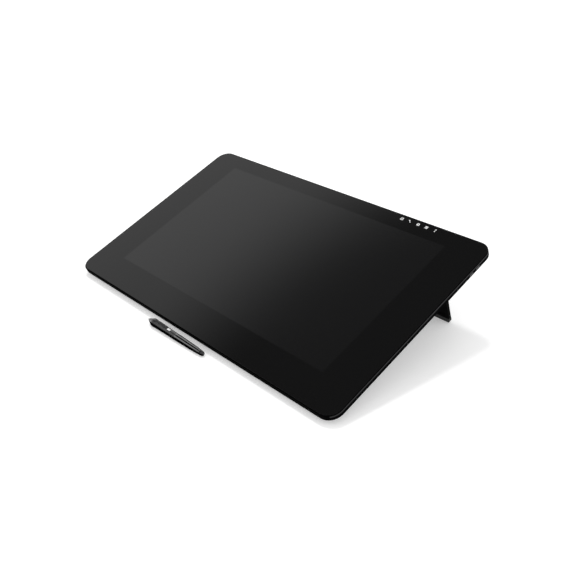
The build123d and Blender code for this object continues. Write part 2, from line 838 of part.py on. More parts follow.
rear_cover.part.label = "rear_cover"
export_step(rear_cover.part, "parts/rear_cover.step")

# Case screws, pan heads sunk in their counterbores
with BuildPart() as case_screws:
    with BuildSketch(below(plate_bottom + screw_boss_drop + cover_wall)):
        with Locations(screw_places):
            Circle(screw_radius)
    extrude(amount=cover_wall + screw_boss_drop - plate_thick - screw_tip)
    with BuildSketch(below(plate_bottom + screw_boss_drop + cover_wall)):
        with Locations(screw_places):
            Circle(screw_head_radius)
    extrude(amount=-screw_head_height)
    with BuildSketch(
        below(plate_bottom + screw_boss_drop + cover_wall + screw_head_height)
    ):
        with Locations(screw_places):
            RegularPolygon(screw_radius, 6)
    extrude(amount=screw_head_sink, mode=Mode.SUBTRACT)
case_screws.part.label = "case_screws"
export_step(case_screws.part, "parts/case_screws.step")

# Steel bracket of the stand mount, its bosses flush with the rear face
with BuildPart() as vesa_bracket:
    with BuildSketch(rear.offset(cover_wall)):
        with Locations((0, vesa_y)):
            RectangleRounded(bracket_size, bracket_size, bracket_radius)
            RectangleRounded(
                bracket_window, bracket_window, bracket_radius, mode=Mode.SUBTRACT
            )
    extrude(amount=bracket_thick)
    with BuildSketch(rear):
        with Locations((0, vesa_y)):
            with GridLocations(vesa_pitch, vesa_pitch, 2, 2):
                Circle(vesa_boss_radius)
    extrude(amount=cover_wall)
    with BuildSketch(rear):
        with Locations((0, vesa_y)):
            with GridLocations(vesa_pitch, vesa_pitch, 2, 2):
                Circle(vesa_hole_radius)
    extrude(amount=cover_wall + bracket_thick, mode=Mode.SUBTRACT)
vesa_bracket.part.label = "vesa_bracket"
export_step(vesa_bracket.part, "parts/vesa_bracket.step")

# Front and rear feet: strips with a round underside in shallow seats
foot_rows = [
    ("front_foot_left", -foot_x, front_foot_y, foot_length),
    ("front_foot_right", foot_x, front_foot_y, foot_length),
    ("rear_foot_left", -rear_foot_x, rear_foot_y, rear_foot_length),
    ("rear_foot_right", rear_foot_x, rear_foot_y, rear_foot_length),
]
for name, x, y, length in foot_rows:
    foot_middle = rear.from_local_coords((x, y, foot_sink))
    foot_section = Plane(foot_middle, x_dir=rear.y_dir, z_dir=(1, 0, 0))
    with BuildPart() as foot:
        with BuildSketch(foot_section.offset(-length / 2)):
            Circle(foot_radius)
            Rectangle(
                2 * foot_radius,
                foot_radius,
                align=(Align.CENTER, Align.MIN),
                mode=Mode.SUBTRACT,
            )
            Rectangle(
                2 * foot_radius, foot_seat - foot_sink, align=(Align.CENTER, Align.MIN)
            )
        extrude(amount=length)
        split(bisect_by=Plane.XY, keep=Keep.TOP)
    foot.part.label = name
    export_step(foot.part, f"parts/{name}.step")

# Legs at rest, folded out, with their pins and rubber pads
tongue_start = leg_reach + leg_thick / 2 - pad_length
for name, side in (("left", -1), ("right", 1)):
    leg_middle = rear.from_local_coords((side * leg_x, hinge_y, hinge_pin_depth))
    leg_plane = Plane(leg_middle, x_dir=(1, 0, 0), z_dir=leg_normal)
    barrel_plane = Plane(leg_middle, x_dir=leg_normal, z_dir=(1, 0, 0))

    with BuildPart() as leg:
        with BuildSketch(leg_plane.offset(-leg_thick / 2)):
            Rectangle(leg_width, tongue_start, align=(Align.CENTER, Align.MIN))
        extrude(amount=leg_thick)
        with BuildSketch(barrel_plane.offset(-leg_width / 2)):
            Circle(barrel_radius)
        extrude(amount=leg_width)
        with BuildSketch(leg_plane.offset(-tongue_thick / 2)):
            with Locations((0, tongue_start)):
                Rectangle(
                    leg_width - 2 * leg_corner_radius,
                    tongue_length,
                    align=(Align.CENTER, Align.MIN),
                )
        extrude(amount=tongue_thick)
        # shallow panel on the face that folds inwards
        panel_start = barrel_radius + leg_panel_margin
        with BuildSketch(leg_plane.offset(-leg_thick / 2)):
            with Locations((0, panel_start)):
                RectangleRounded(
                    leg_width - 2 * leg_panel_margin,
                    tongue_start - leg_panel_margin - panel_start,
                    leg_panel_radius,
                    align=(Align.CENTER, Align.MIN),
                )
        extrude(amount=leg_panel_depth, mode=Mode.SUBTRACT)
        # land that meets the well's back wall when the leg is out
        with BuildSketch(leg_plane):
            with Locations((0, stop_start)):
                Rectangle(
                    leg_width - 2 * leg_corner_radius,
                    stop_length,
                    align=(Align.CENTER, Align.MIN),
                )
        extrude(amount=stop_height)
        with BuildSketch(barrel_plane.offset(-leg_width / 2)):
            Circle(hinge_pin_radius + running_gap)
        extrude(amount=leg_width, mode=Mode.SUBTRACT)
    leg.part.label = f"leg_{name}"
    export_step(leg.part, f"parts/leg_{name}.step")

    with BuildPart() as leg_pin:
        with BuildSketch(barrel_plane.offset(-pin_length / 2)):
            Circle(hinge_pin_radius)
        extrude(amount=pin_length)
    leg_pin.part.label = f"leg_pin_{name}"
    export_step(leg_pin.part, f"parts/leg_pin_{name}.step")

    with BuildPart() as leg_pad:
        with BuildSketch(leg_plane.offset(-leg_thick / 2)):
            with Locations((0, leg_reach + leg_thick / 2)):
                RectangleRounded(
                    leg_width,
                    2 * pad_length,
                    leg_corner_radius,
                    align=(Align.CENTER, Align.MAX),
                )
            Rectangle(
                2 * leg_width,
                tongue_start,
                align=(Align.CENTER, Align.MIN),
                mode=Mode.SUBTRACT,
            )
        extrude(amount=leg_thick)
        with BuildSketch(barrel_plane.offset(-leg_width / 2)):
            with Locations((0, -leg_reach)):
                Circle(leg_thick / 2)
            with Locations((0, -tongue_start / 2)):
                Rectangle(leg_thick, 2 * leg_reach - tongue_start)
        extrude(amount=leg_width, mode=Mode.INTERSECT)
        with BuildSketch(leg_plane.offset(-tongue_thick / 2)):
            with Locations((0, tongue_start)):
                Rectangle(
                    leg_width - 2 * leg_corner_radius,
                    tongue_length,
                    align=(Align.CENTER, Align.MIN),
                )
        extrude(amount=tongue_thick, mode=Mode.SUBTRACT)
        split(bisect_by=Plane.XY, keep=Keep.TOP)
    leg_pad.part.label = f"leg_pad_{name}"
    export_step(leg_pad.part, f"parts/leg_pad_{name}.step")

# Cover of the port bay, lying on the bay's two ledges
cover_run = bay_from_back - bay_cover_from_back - bay_cover_gap
with BuildPart() as cable_cover:
    with BuildSketch(rear):
        with Locations((0, bay_y + bay_cover_gap)):
            Rectangle(
                bay_width - 2 * bay_cover_gap, cover_run, align=(Align.CENTER, Align.MIN)
            )
        with Locations((0, bay_y + bay_cover_gap + cover_run)):
            Circle(bay_notch_radius, mode=Mode.SUBTRACT)
    extrude(amount=bay_cover_thick)
    with BuildSketch(rear.offset(bay_cover_thick)):
        with Locations((0, bay_y + bay_cover_gap)):
            with GridLocations(
                bay_width - 2 * bay_ledge - 2 * bay_rib_width, cover_run, 2, 1
            ):
                Rectangle(
                    bay_rib_width, cover_run, align=(Align.CENTER, Align.MIN)
                )
    extrude(amount=bay_rib_height)
cable_cover.part.label = "cable_cover"
export_step(cable_cover.part, "parts/cable_cover.step")

# Port board and the rear sockets, mouths towards the back
with BuildPart() as port_board:
    with BuildSketch(rear.offset(port_board_height)):
        with Locations((0, port_board_y)):
            Rectangle(
                port_board_width,
                port_board_reach,
                align=(Align.CENTER, Align.MAX),
            )
    extrude(amount=port_board_thick)
port_board.part.label = "port_board"
export_step(port_board.part, "parts/port_board.step")

with BuildPart() as power_jack:
    with BuildSketch(port_wall):
        with Locations((-power_jack_x, 0)):
            Rectangle(power_jack_size - 2 * port_gap, power_jack_size - 2 * port_gap)
            Circle(power_jack_radius, mode=Mode.SUBTRACT)
            Circle(power_pin_radius)
    extrude(amount=-power_jack_depth)
    with BuildSketch(port_wall.offset(-power_jack_depth)):
        with Locations((-power_jack_x, 0)):
            Rectangle(power_jack_size - 2 * port_gap, power_jack_size - 2 * port_gap)
    extrude(amount=-port_flange)
    with BuildSketch(port_wall.offset(-cover_wall)):
        with Locations((-power_jack_x, power_jack_size / 2 - port_gap)):
            Rectangle(power_jack_size - 2 * port_gap, port_gap, align=(Align.CENTER, Align.MIN))
    extrude(amount=cover_wall - power_jack_depth)
power_jack.part.label = "power_jack"
export_step(power_jack.part, "parts/power_jack.step")

socket_rows = [
    ("usb_socket", usb_x, usb_width, usb_height),
    ("displayport_socket", displayport_x, displayport_width, displayport_height),
    ("hdmi_socket", hdmi_x, hdmi_width, hdmi_height),
]
for name, x, width, height in socket_rows:
    outer_width = width - 2 * port_gap
    outer_height = height - 2 * port_gap
    with BuildPart() as socket:
        with BuildSketch(port_wall):
            with Locations((-x, 0)):
                Rectangle(outer_width, outer_height)
                Rectangle(
                    outer_width - 2 * socket_wall,
                    outer_height - 2 * socket_wall,
                    mode=Mode.SUBTRACT,
                )
        extrude(amount=-socket_depth)
        with BuildSketch(port_wall.offset(-socket_depth)):
            with Locations((-x, 0)):
                Rectangle(outer_width, outer_height)
        extrude(amount=-port_flange)
        with BuildSketch(port_wall.offset(-socket_depth)):
            with Locations((-x, 0)):
                Rectangle(
                    outer_width - 4 * socket_wall, outer_height * socket_tongue_share
                )
        extrude(amount=socket_depth - socket_wall)
        # foot of the socket up to the port board
        with BuildSketch(port_wall.offset(-cover_wall)):
            with Locations((-x, outer_height / 2)):
                Rectangle(
                    outer_width,
                    port_board_height - port_height - outer_height / 2,
                    align=(Align.CENTER, Align.MIN),
                )
        extrude(amount=cover_wall - socket_depth)
    socket.part.label = name
    export_step(socket.part, f"parts/{name}.step")

# Side sockets, two on each side, and the headphone socket on the left
for name, side in (("left", -1), ("right", 1)):
    side_wall = Plane(rim_middle, x_dir=glass.y_dir * side, z_dir=(side, 0, 0))
    side_face = side_wall.offset(tablet_length / 2 - lip_drop)
    with BuildPart() as side_ports:
        port_middle = side * (side_port_y - side_port_pitch / 2)
        outer_width = usb_width - 2 * port_gap
        outer_height = usb_height - 2 * port_gap
        with BuildSketch(side_face):
            with Locations((port_middle, 0)):
                with GridLocations(side_port_pitch, side_port_pitch, 2, 1):
                    RectangleRounded(
                        outer_width, outer_height, outer_height / 2 - port_gap
                    )
                    RectangleRounded(
                        outer_width - 2 * socket_wall,
                        outer_height - 2 * socket_wall,
                        outer_height / 2 - socket_wall - port_gap,
                        mode=Mode.SUBTRACT,
                    )
        extrude(amount=-side_port_depth)
        with BuildSketch(side_face.offset(-side_port_depth)):
            with Locations((port_middle, 0)):
                with GridLocations(side_port_pitch, side_port_pitch, 2, 1):
                    RectangleRounded(
                        outer_width, outer_height, outer_height / 2 - port_gap
                    )
        extrude(amount=-port_flange)
        with BuildSketch(side_face.offset(-side_port_depth)):
            with Locations((port_middle, 0)):
                with GridLocations(side_port_pitch, side_port_pitch, 2, 1):
                    Rectangle(
                        outer_width - 5 * socket_wall, outer_height * socket_tongue_share
                    )
        extrude(amount=side_port_depth - socket_wall)
    side_ports.part.label = f"side_ports_{name}"
    export_step(side_ports.part, f"parts/side_ports_{name}.step")

left_face = left_wall.offset(tablet_length / 2 - lip_drop)
with BuildPart() as headphone_jack:
    with BuildSketch(left_face):
        with Locations((-headphone_y, 0)):
            Circle(headphone_radius + headphone_wall)
    extrude(amount=-headphone_depth)
    with BuildSketch(left_face):
        with Locations((-headphone_y, 0)):
            Circle(headphone_radius)
    extrude(amount=headphone_wall - headphone_depth, mode=Mode.SUBTRACT)
headphone_jack.part.label = "headphone_jack"
export_step(headphone_jack.part, "parts/headphone_jack.step")

# Power button and touch switch in the back rim, with their small board
back_face = back_wall.offset(half_depth)
with BuildPart() as power_button:
    with BuildSketch(back_face.offset(button_proud)):
        with Locations((-button_x, 0)):
            RectangleRounded(button_length, button_height, button_height / 2 - button_gap)
    extrude(amount=-button_proud - rim_wall)
    with BuildSketch(back_face.offset(-rim_wall)):
        with Locations((-button_x, 0)):
            Rectangle(
                button_length + 2 * button_flange_edge, button_height + 2 * button_gap
            )
    extrude(amount=-button_flange)
power_button.part.label = "power_button"
export_step(power_button.part, "parts/power_button.step")

with BuildPart() as touch_switch:
    knob_x = -switch_x - switch_travel / 2
    with BuildSketch(back_face.offset(switch_knob_proud)):
        with Locations((knob_x, 0)):
            RectangleRounded(
                switch_knob_length,
                switch_slot_height - 2 * button_gap,
                switch_slot_height / 4,
            )
    extrude(amount=-switch_knob_proud - rim_wall)
    with BuildSketch(back_face.offset(-rim_wall)):
        with Locations((knob_x, 0)):
            Rectangle(
                switch_slot_length + switch_travel, switch_slot_height + 2 * button_gap
            )
    extrude(amount=-button_flange)
touch_switch.part.label = "touch_switch"
export_step(touch_switch.part, "parts/touch_switch.step")

board_plane = back_face.offset(
    -rim_wall - button_flange - button_board_gap - contact_depth - button_travel
)
with BuildPart() as button_board:
    with BuildSketch(board_plane):
        with Locations((-(button_x + switch_x) / 2, 0)):
            Rectangle(button_board_length, 2 * (rim_port_height - plate_bottom))
    extrude(amount=-button_board_thick)
    with BuildSketch(board_plane):
        with Locations((-button_x, 0)):
            Rectangle(button_height, button_height)
    extrude(amount=contact_depth)
    with BuildSketch(board_plane):
        with Locations((-switch_x, 0)):
            Rectangle(button_height, switch_slot_height)
    extrude(amount=contact_depth + button_travel + button_board_gap)
button_board.part.label = "button_board"
export_step(button_board.part, "parts/button_board.step")

# Pen: its nose's rim and the middle of its barrel lie on the desk
grip_end = nose_end + grip_length
grip_middle = nose_end + grip_length / 2
grip_taper = (pen_radius - grip_end_radius) / grip_length
barrel_end = grip_end + barrel_length
barrel_middle = grip_end + barrel_length / 2
tail_end = barrel_end + tail_length
barrel_drop = pen_radius - barrel_middle_radius - pen_desk_gap
pen_pitch = atan(barrel_drop / (barrel_middle - nose_end))
tip_height = pen_radius / cos(pen_pitch) + nose_end * sin(pen_pitch)
pen_profile = Plane(
    origin=(pen_tip_x, glass_y - pen_reach, tip_height),
    x_dir=(
        cos(pen_pitch) * cos(pen_turn),
        cos(pen_pitch) * sin(pen_turn),
        -sin(pen_pitch),
    ),
    z_dir=(sin(pen_turn), -cos(pen_turn), 0),
)
pen_line = Axis(pen_profile.origin, pen_profile.x_dir)
pen_up = pen_profile.y_dir
grip_inner = pen_radius - pen_wall
grip_end_inner = grip_end_radius - pen_wall
nose_spigot_radius = grip_inner - pen_spigot * grip_taper
spigot_radius = grip_end_radius - 2 * pen_wall

with BuildPart() as pen_nib:
    with BuildSketch(pen_profile):
        with BuildLine():
            Line((0, 0), (nib_length, 0))
            Line((nib_length, 0), (nib_length, nib_radius))
            Line((nib_length, nib_radius), (nib_radius, nib_radius))
            RadiusArc((nib_radius, nib_radius), (0, 0), -nib_radius)
        make_face()
    revolve(axis=pen_line)
pen_nib.part.label = "pen_nib"
export_step(pen_nib.part, "parts/pen_nib.step")

with BuildPart() as pen_nose:
    with BuildSketch(pen_profile):
        with BuildLine():
            Line((nib_out, nib_radius + nib_gap), (nib_out, nose_front_radius))
            ThreePointArc(
                (nib_out, nose_front_radius),
                (
                    nib_out + nose_length / 2,
                    (nose_front_radius + pen_radius) / 2 + nose_bulge,
                ),
                (nose_end, pen_radius),
            )
            Line((nose_end, pen_radius), (nose_end, grip_inner))
            Line((nose_end, grip_inner), (nose_end + pen_spigot, nose_spigot_radius))
            Line(
                (nose_end + pen_spigot, nose_spigot_radius),
                (nose_end + pen_spigot, grip_inner - pen_wall),
            )
            Line(
                (nose_end + pen_spigot, grip_inner - pen_wall),
                (nose_end, grip_inner - pen_wall),
            )
            Line(
                (nose_end, grip_inner - pen_wall),
                (nib_out + nose_length / 2, nib_radius + nib_gap),
            )
            Line(
                (nib_out + nose_length / 2, nib_radius + nib_gap),
                (nib_out, nib_radius + nib_gap),
            )
        make_face()
    revolve(axis=pen_line)
pen_nose.part.label = "pen_nose"
export_step(pen_nose.part, "parts/pen_nose.step")

switch_middle = switch_from_tip + switch_length / 2
switch_plane = Plane(
    origin=pen_profile.from_local_coords((switch_middle, 0, 0)),
    x_dir=pen_profile.x_dir,
    z_dir=pen_up,
)
with BuildPart() as pen_grip:
    with BuildSketch(pen_profile):
        with BuildLine():
            Line((nose_end, grip_inner), (nose_end, pen_radius))
            ThreePointArc(
                (nose_end, pen_radius),
                (grip_middle, grip_middle_radius),
                (grip_end, grip_end_radius),
            )
            Line((grip_end, grip_end_radius), (grip_end, grip_end_inner))
            Line((grip_end, grip_end_inner), (nose_end, grip_inner))
        make_face()
    revolve(axis=pen_line)
    with BuildSketch(switch_plane):
        SlotOverall(switch_length + 2 * switch_gap, switch_width + 2 * switch_gap)
    extrude(amount=2 * pen_radius, mode=Mode.SUBTRACT)
pen_grip.part.label = "pen_grip"
export_step(pen_grip.part, "parts/pen_grip.step")

# Side switch: rocks about a cross pin at its middle, on the pen's board
with BuildPart() as pen_switch:
    with BuildSketch(pen_profile):
        with BuildLine():
            Polyline(
                (nose_end, 0),
                (nose_end, pen_radius + switch_raise),
                (grip_end, grip_end_radius + switch_raise),
                (grip_end, 0),
                close=True,
            )
        make_face()
    revolve(axis=pen_line)
    with BuildSketch(switch_plane.offset(switch_root)):
        SlotOverall(switch_length, switch_width)
    extrude(amount=2 * pen_radius, mode=Mode.INTERSECT)
pen_switch.part.label = "pen_switch"
export_step(pen_switch.part, "parts/pen_switch.step")

with BuildPart() as pen_barrel:
    with BuildSketch(pen_profile):
        with BuildLine():
            Line((grip_end, grip_end_radius), (grip_end, grip_end_inner))
            Line((grip_end, grip_end_inner), (grip_end - pen_spigot, grip_end_inner))
            Line(
                (grip_end - pen_spigot, grip_end_inner),
                (grip_end - pen_spigot, spigot_radius),
            )
            Line(
                (grip_end - pen_spigot, spigot_radius),
                (barrel_middle, barrel_middle_radius - pen_wall),
            )
            Line(
                (barrel_middle, barrel_middle_radius - pen_wall),
                (barrel_end, barrel_end_radius - pen_wall),
            )
            Line(
                (barrel_end, barrel_end_radius - pen_wall),
                (barrel_end, eraser_shank_radius + nib_gap),
            )
            Line(
                (barrel_end, eraser_shank_radius + nib_gap),
                (tail_end, eraser_shank_radius + nib_gap),
            )
            Line((tail_end, eraser_shank_radius + nib_gap), (tail_end, tail_end_radius))
            Line((tail_end, tail_end_radius), (barrel_end, barrel_end_radius))
            ThreePointArc(
                (barrel_end, barrel_end_radius),
                (barrel_middle, barrel_middle_radius),
                (grip_end, grip_end_radius),
            )
        make_face()
    revolve(axis=pen_line)
pen_barrel.part.label = "pen_barrel"
export_step(pen_barrel.part, "parts/pen_barrel.step")

eraser_start = tail_end + eraser_travel + eraser_gap
eraser_end = eraser_start + eraser_length
with BuildPart() as pen_eraser:
    with BuildSketch(pen_profile):
        with BuildLine():
            Polyline(
                (tail_end - eraser_shank_length, 0),
                (tail_end - eraser_shank_length, eraser_shank_radius),
                (eraser_start, eraser_shank_radius),
                (eraser_start, eraser_radius),
                (eraser_end - eraser_radius, eraser_radius),
            )
            RadiusArc(
                (eraser_end - eraser_radius, eraser_radius), (eraser_end, 0), eraser_radius
            )
            Line((eraser_end, 0), (tail_end - eraser_shank_length, 0))
        make_face()
    revolve(axis=pen_line)
pen_eraser.part.label = "pen_eraser"
export_step(pen_eraser.part, "parts/pen_eraser.step")

# Inside the pen: the board with the side switch's contact and the pressure
# sensor behind the nib, and the coil round the nib
pen_board_middle = pen_board_from_tip + pen_board_length / 2
pen_board_width = 2 * (sqrt(spigot_radius**2 - pen_board_thick**2) - nib_gap)
sensor_from_tip = nib_length + nib_travel + nib_gap
with BuildPart() as pen_board:
    with BuildSketch(
        Plane(
            pen_profile.from_local_coords((pen_board_middle, 0, 0)),
            x_dir=pen_profile.x_dir,
            z_dir=pen_up,
        ).offset(-pen_board_thick)
    ):
        Rectangle(pen_board_length, pen_board_width)
    extrude(amount=pen_board_thick)
    with BuildSketch(switch_plane):
        Rectangle(pen_board_width / 2, pen_board_width / 2)
    extrude(amount=switch_root - switch_gap)
    with BuildSketch(pen_profile):
        with Locations((sensor_from_tip, 0)):
            Rectangle(
                pen_board_from_tip - sensor_from_tip,
                coil_radius,
                align=(Align.MIN, Align.MIN),
            )
    revolve(axis=pen_line)
pen_board.part.label = "pen_board"
export_step(pen_board.part, "parts/pen_board.step")

with BuildPart() as pen_coil:
    with BuildSketch(pen_profile):
        with Locations((coil_from_tip, coil_bore_radius)):
            Rectangle(
                coil_length, coil_radius - coil_bore_radius, align=(Align.MIN, Align.MIN)
            )
    revolve(axis=pen_line)
pen_coil.part.label = "pen_coil"
export_step(pen_coil.part, "parts/pen_coil.step")

# Places that the record repeats
print("glass plane", glass.origin, "rear plane", rear.origin, rear.y_dir, rear.z_dir)
print("hinge", hinge_point, "swing", leg_swing, "reach", leg_reach, "well", well_length)
print("pen tip", pen_profile.origin, "axis", pen_profile.x_dir, "switch", switch_plane.origin)
print("stand mount", rear.from_local_coords((0, vesa_y, 0)))
for name, side in (("left", -1), ("right", 1)):
    print("fan", name, below(shield_bottom, side * fan_x, fan_y).origin)
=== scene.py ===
import json
import math
import bmesh
import bpy
from mathutils import Matrix, Vector


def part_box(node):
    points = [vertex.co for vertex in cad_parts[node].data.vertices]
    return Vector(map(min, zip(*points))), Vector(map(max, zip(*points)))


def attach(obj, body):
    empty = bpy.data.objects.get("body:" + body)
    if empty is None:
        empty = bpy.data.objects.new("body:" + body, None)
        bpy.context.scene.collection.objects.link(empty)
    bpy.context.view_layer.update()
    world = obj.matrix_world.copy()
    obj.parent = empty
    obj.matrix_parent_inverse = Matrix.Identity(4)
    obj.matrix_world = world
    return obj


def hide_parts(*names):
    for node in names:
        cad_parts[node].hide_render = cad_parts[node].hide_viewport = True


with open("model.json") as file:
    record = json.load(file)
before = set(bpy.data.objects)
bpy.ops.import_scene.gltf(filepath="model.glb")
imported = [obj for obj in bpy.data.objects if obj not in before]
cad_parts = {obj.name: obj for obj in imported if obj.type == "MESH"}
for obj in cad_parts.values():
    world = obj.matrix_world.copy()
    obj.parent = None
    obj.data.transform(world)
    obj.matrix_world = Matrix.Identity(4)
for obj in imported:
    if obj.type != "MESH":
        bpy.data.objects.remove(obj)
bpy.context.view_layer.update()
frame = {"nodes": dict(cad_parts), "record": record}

nodes = frame["nodes"]
print("frame loaded:", len(nodes), "nodes")

# The tablet's own frame: origin at the middle of the glass top, Z out of the glass
slab = {"tilt": math.radians(20.0), "glassThick": 0.002}


def slabFrame():
    low, high = (Vector(corner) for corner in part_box("cover_glass"))
    turn = Matrix.Rotation(slab["tilt"], 4, "X")
    lift = turn @ Vector((0, 0, slab["glassThick"] / 2))
    return Matrix.Translation((low + high) / 2 + lift) @ turn


tabletFrame = slabFrame()

# Camera fitted to the photograph, a square frame of 576 pixels
cameraFit = {
    "place": (0.9147, -0.7644, 0.6018),  # metres from the middle of the glass
    "azimuth": math.radians(46.34),
    "elevation": math.radians(29.27),
    "roll": math.radians(1.43),
    "lens": 47.44,
    "sensor": 36.0,
    "shift": -0.0417,
    "near": 0.01,
    "far": 100.0,
}


def addCamera():
    data = bpy.data.cameras.new("camera")
    data.lens = cameraFit["lens"]
    data.sensor_width = cameraFit["sensor"]
    data.shift_x = cameraFit["shift"]
    data.clip_start = cameraFit["near"]
    data.clip_end = cameraFit["far"]
    camera = bpy.data.objects.new("camera", data)
    bpy.context.scene.collection.objects.link(camera)
    azimuth, elevation = cameraFit["azimuth"], cameraFit["elevation"]
    look = Vector((
        -math.sin(azimuth) * math.cos(elevation),
        math.cos(azimuth) * math.cos(elevation),
        -math.sin(elevation),
    ))
    right = Vector((math.cos(azimuth), math.sin(azimuth), 0))
    down = look.cross(right)
    roll = cameraFit["roll"]
    rolledRight = right * math.cos(roll) + down * math.sin(roll)
    rolledDown = down * math.cos(roll) - right * math.sin(roll)
    turn = Matrix((rolledRight, -rolledDown, -look)).transposed().to_4x4()
    place = tabletFrame.translation + Vector(cameraFit["place"])
    camera.matrix_world = Matrix.Translation(place) @ turn
    bpy.context.scene.camera = camera


addCamera()
bpy.context.scene.view_settings.view_transform = "Standard"


# A node group for several materials; its sockets are given as pairs of label and kind
def newGroup(name, inputs, outputs):
    group = bpy.data.node_groups.new(name, "ShaderNodeTree")
    for side, sockets in (("INPUT", inputs), ("OUTPUT", outputs)):
        for label, kind in sockets:
            group.interface.new_socket(label, in_out=side, socket_type="NodeSocket" + kind)
    return group, group.nodes.new("NodeGroupInput"), group.nodes.new("NodeGroupOutput")


def mathNode(tree, operation, first, second=0.0, clamp=False):
    node = tree.nodes.new("ShaderNodeMath")
    node.operation = operation
    node.use_clamp = clamp
    for socket, value in zip(node.inputs, (first, second)):
        if isinstance(value, (int, float)):
            socket.default_value = value
        else:
            tree.links.new(value, socket)
    return node.outputs[0]


def noiseNode(tree, vector, scale, detail, roughness=0.5):
    node = tree.nodes.new("ShaderNodeTexNoise")
    node.inputs["Detail"].default_value = detail
    node.inputs["Roughness"].default_value = roughness
    tree.links.new(vector, node.inputs["Vector"])
    if isinstance(scale, (int, float)):
        node.inputs["Scale"].default_value = scale
    else:
        tree.links.new(scale, node.inputs["Scale"])
    return node.outputs["Fac"]


# Moulded or painted grain: fine bumps, slow patches and sparse bright specks
grainLook = {
    "fineDetail": 3.0,
    "fineRough": 0.6,
    "patchDetail": 3.0,
    "speckScale": 900.0,
    "speckDetail": 1.0,
    "speckFrom": 0.66,  # the noise is a speck from here up
    "speckSharp": 9.0,
}


def buildGrain():
    group, entry, leave = newGroup(
        "surfaceGrain",
        [("Vector", "Vector"), ("Grain Scale", "Float"), ("Patch Scale", "Float"), ("Speck Amount", "Float")],
        [("Height", "Float"), ("Patch", "Float"), ("Speck", "Float")],
    )
    vector, grainScale, patchScale, amount = entry.outputs[:4]
    fine = noiseNode(group, vector, grainScale, grainLook["fineDetail"], grainLook["fineRough"])
    patch = noiseNode(group, vector, patchScale, grainLook["patchDetail"])
    speckNoise = noiseNode(group, vector, grainLook["speckScale"], grainLook["speckDetail"])
    lifted = mathNode(group, "SUBTRACT", speckNoise, grainLook["speckFrom"])
    sharp = mathNode(group, "MULTIPLY", lifted, grainLook["speckSharp"], clamp=True)
    speck = mathNode(group, "MULTIPLY", sharp, amount)
    for value, socket in zip((fine, patch, speck), leave.inputs):
        group.links.new(value, socket)
    return group


grainGroup = buildGrain()


def newMaterial(name):
    material = bpy.data.materials.new(name)
    material.use_nodes = True
    tree = material.node_tree
    shader = tree.nodes["Principled BSDF"]
    coords = tree.nodes.new("ShaderNodeTexCoord").outputs["Object"]
    return material, tree, shader, coords


def mixColour(tree, factor, first, second):
    node = tree.nodes.new("ShaderNodeMix")
    node.data_type = "RGBA"
    tree.links.new(factor, node.inputs["Factor"])
    for socket, value in zip(node.inputs[6:8], (first, second)):  # its colour sockets
        if isinstance(value, (tuple, list)):
            socket.default_value = (*value, 1.0)
        else:
            tree.links.new(value, socket)
    return node.outputs[2]


def addGrain(tree, coords, grainScale, patchScale, specks):
    node = tree.nodes.new("ShaderNodeGroup")
    node.node_tree = grainGroup
    tree.links.new(coords, node.inputs["Vector"])
    node.inputs["Grain Scale"].default_value = grainScale
    node.inputs["Patch Scale"].default_value = patchScale
    node.inputs["Speck Amount"].default_value = specks
    return node


# Spreads a mask of zero to one between two values
def spread(tree, value, low, high):
    node = tree.nodes.new("ShaderNodeMapRange")
    node.inputs["To Min"].default_value = low
    node.inputs["To Max"].default_value = high
    tree.links.new(value, node.inputs["Value"])
    return node.outputs["Result"]


def addBump(tree, shader, height, distance):
    node = tree.nodes.new("ShaderNodeBump")
    node.inputs["Distance"].default_value = distance
    tree.links.new(height, node.inputs["Height"])
    tree.links.new(node.outputs["Normal"], shader.inputs["Normal"])


# Copper tracks under a board's varnish: lines that change direction from patch to patch
trackLook = {
    "patchScale": 55.0,
    "turned": 0.5,  # share of the patches whose lines are turned
    "bare": 0.35,  # share of the patches without lines
    "halfPitch": 0.5,
    "lineFrom": 0.34,  # a line fills its half pitch from here on
    "padScale": 260.0,
    "padScatter": 0.7,
    "padReach": 0.17,
}


def buildTracks():
    group, entry, leave = newGroup(
        "boardTracks",
        [("Vector", "Vector"), ("Pitch", "Float")],
        [("Track", "Float"), ("Pad", "Float")],
    )
    vector = entry.outputs["Vector"]
    patches = group.nodes.new("ShaderNodeTexVoronoi")
    patches.distance = "CHEBYCHEV"
    patches.inputs["Scale"].default_value = trackLook["patchScale"]
    group.links.new(vector, patches.inputs["Vector"])
    tone = group.nodes.new("ShaderNodeSeparateColor")
    group.links.new(patches.outputs["Color"], tone.inputs[0])
    split = group.nodes.new("ShaderNodeSeparateXYZ")
    group.links.new(vector, split.inputs[0])
    ridges = []
    for axis in ("X", "Y"):
        scaled = mathNode(group, "MULTIPLY", split.outputs[axis], entry.outputs["Pitch"])
        folded = mathNode(group, "PINGPONG", scaled, trackLook["halfPitch"])
        ridges.append(mathNode(group, "GREATER_THAN", folded, trackLook["lineFrom"]))
    along = mathNode(group, "GREATER_THAN", tone.outputs["Red"], trackLook["turned"])
    across = mathNode(group, "SUBTRACT", 1.0, along)
    first = mathNode(group, "MULTIPLY", ridges[0], along)
    second = mathNode(group, "MULTIPLY", ridges[1], across)
    either = mathNode(group, "MAXIMUM", first, second)
    used = mathNode(group, "GREATER_THAN", tone.outputs["Green"], trackLook["bare"])
    track = mathNode(group, "MULTIPLY", either, used)
    pads = group.nodes.new("ShaderNodeTexVoronoi")
    pads.inputs["Scale"].default_value = trackLook["padScale"]
    pads.inputs["Randomness"].default_value = trackLook["padScatter"]
    group.links.new(vector, pads.inputs["Vector"])
    pad = mathNode(group, "LESS_THAN", pads.outputs["Distance"], trackLook["padReach"])
    group.links.new(track, leave.inputs["Track"])
    group.links.new(pad, leave.inputs["Pad"])
    return group


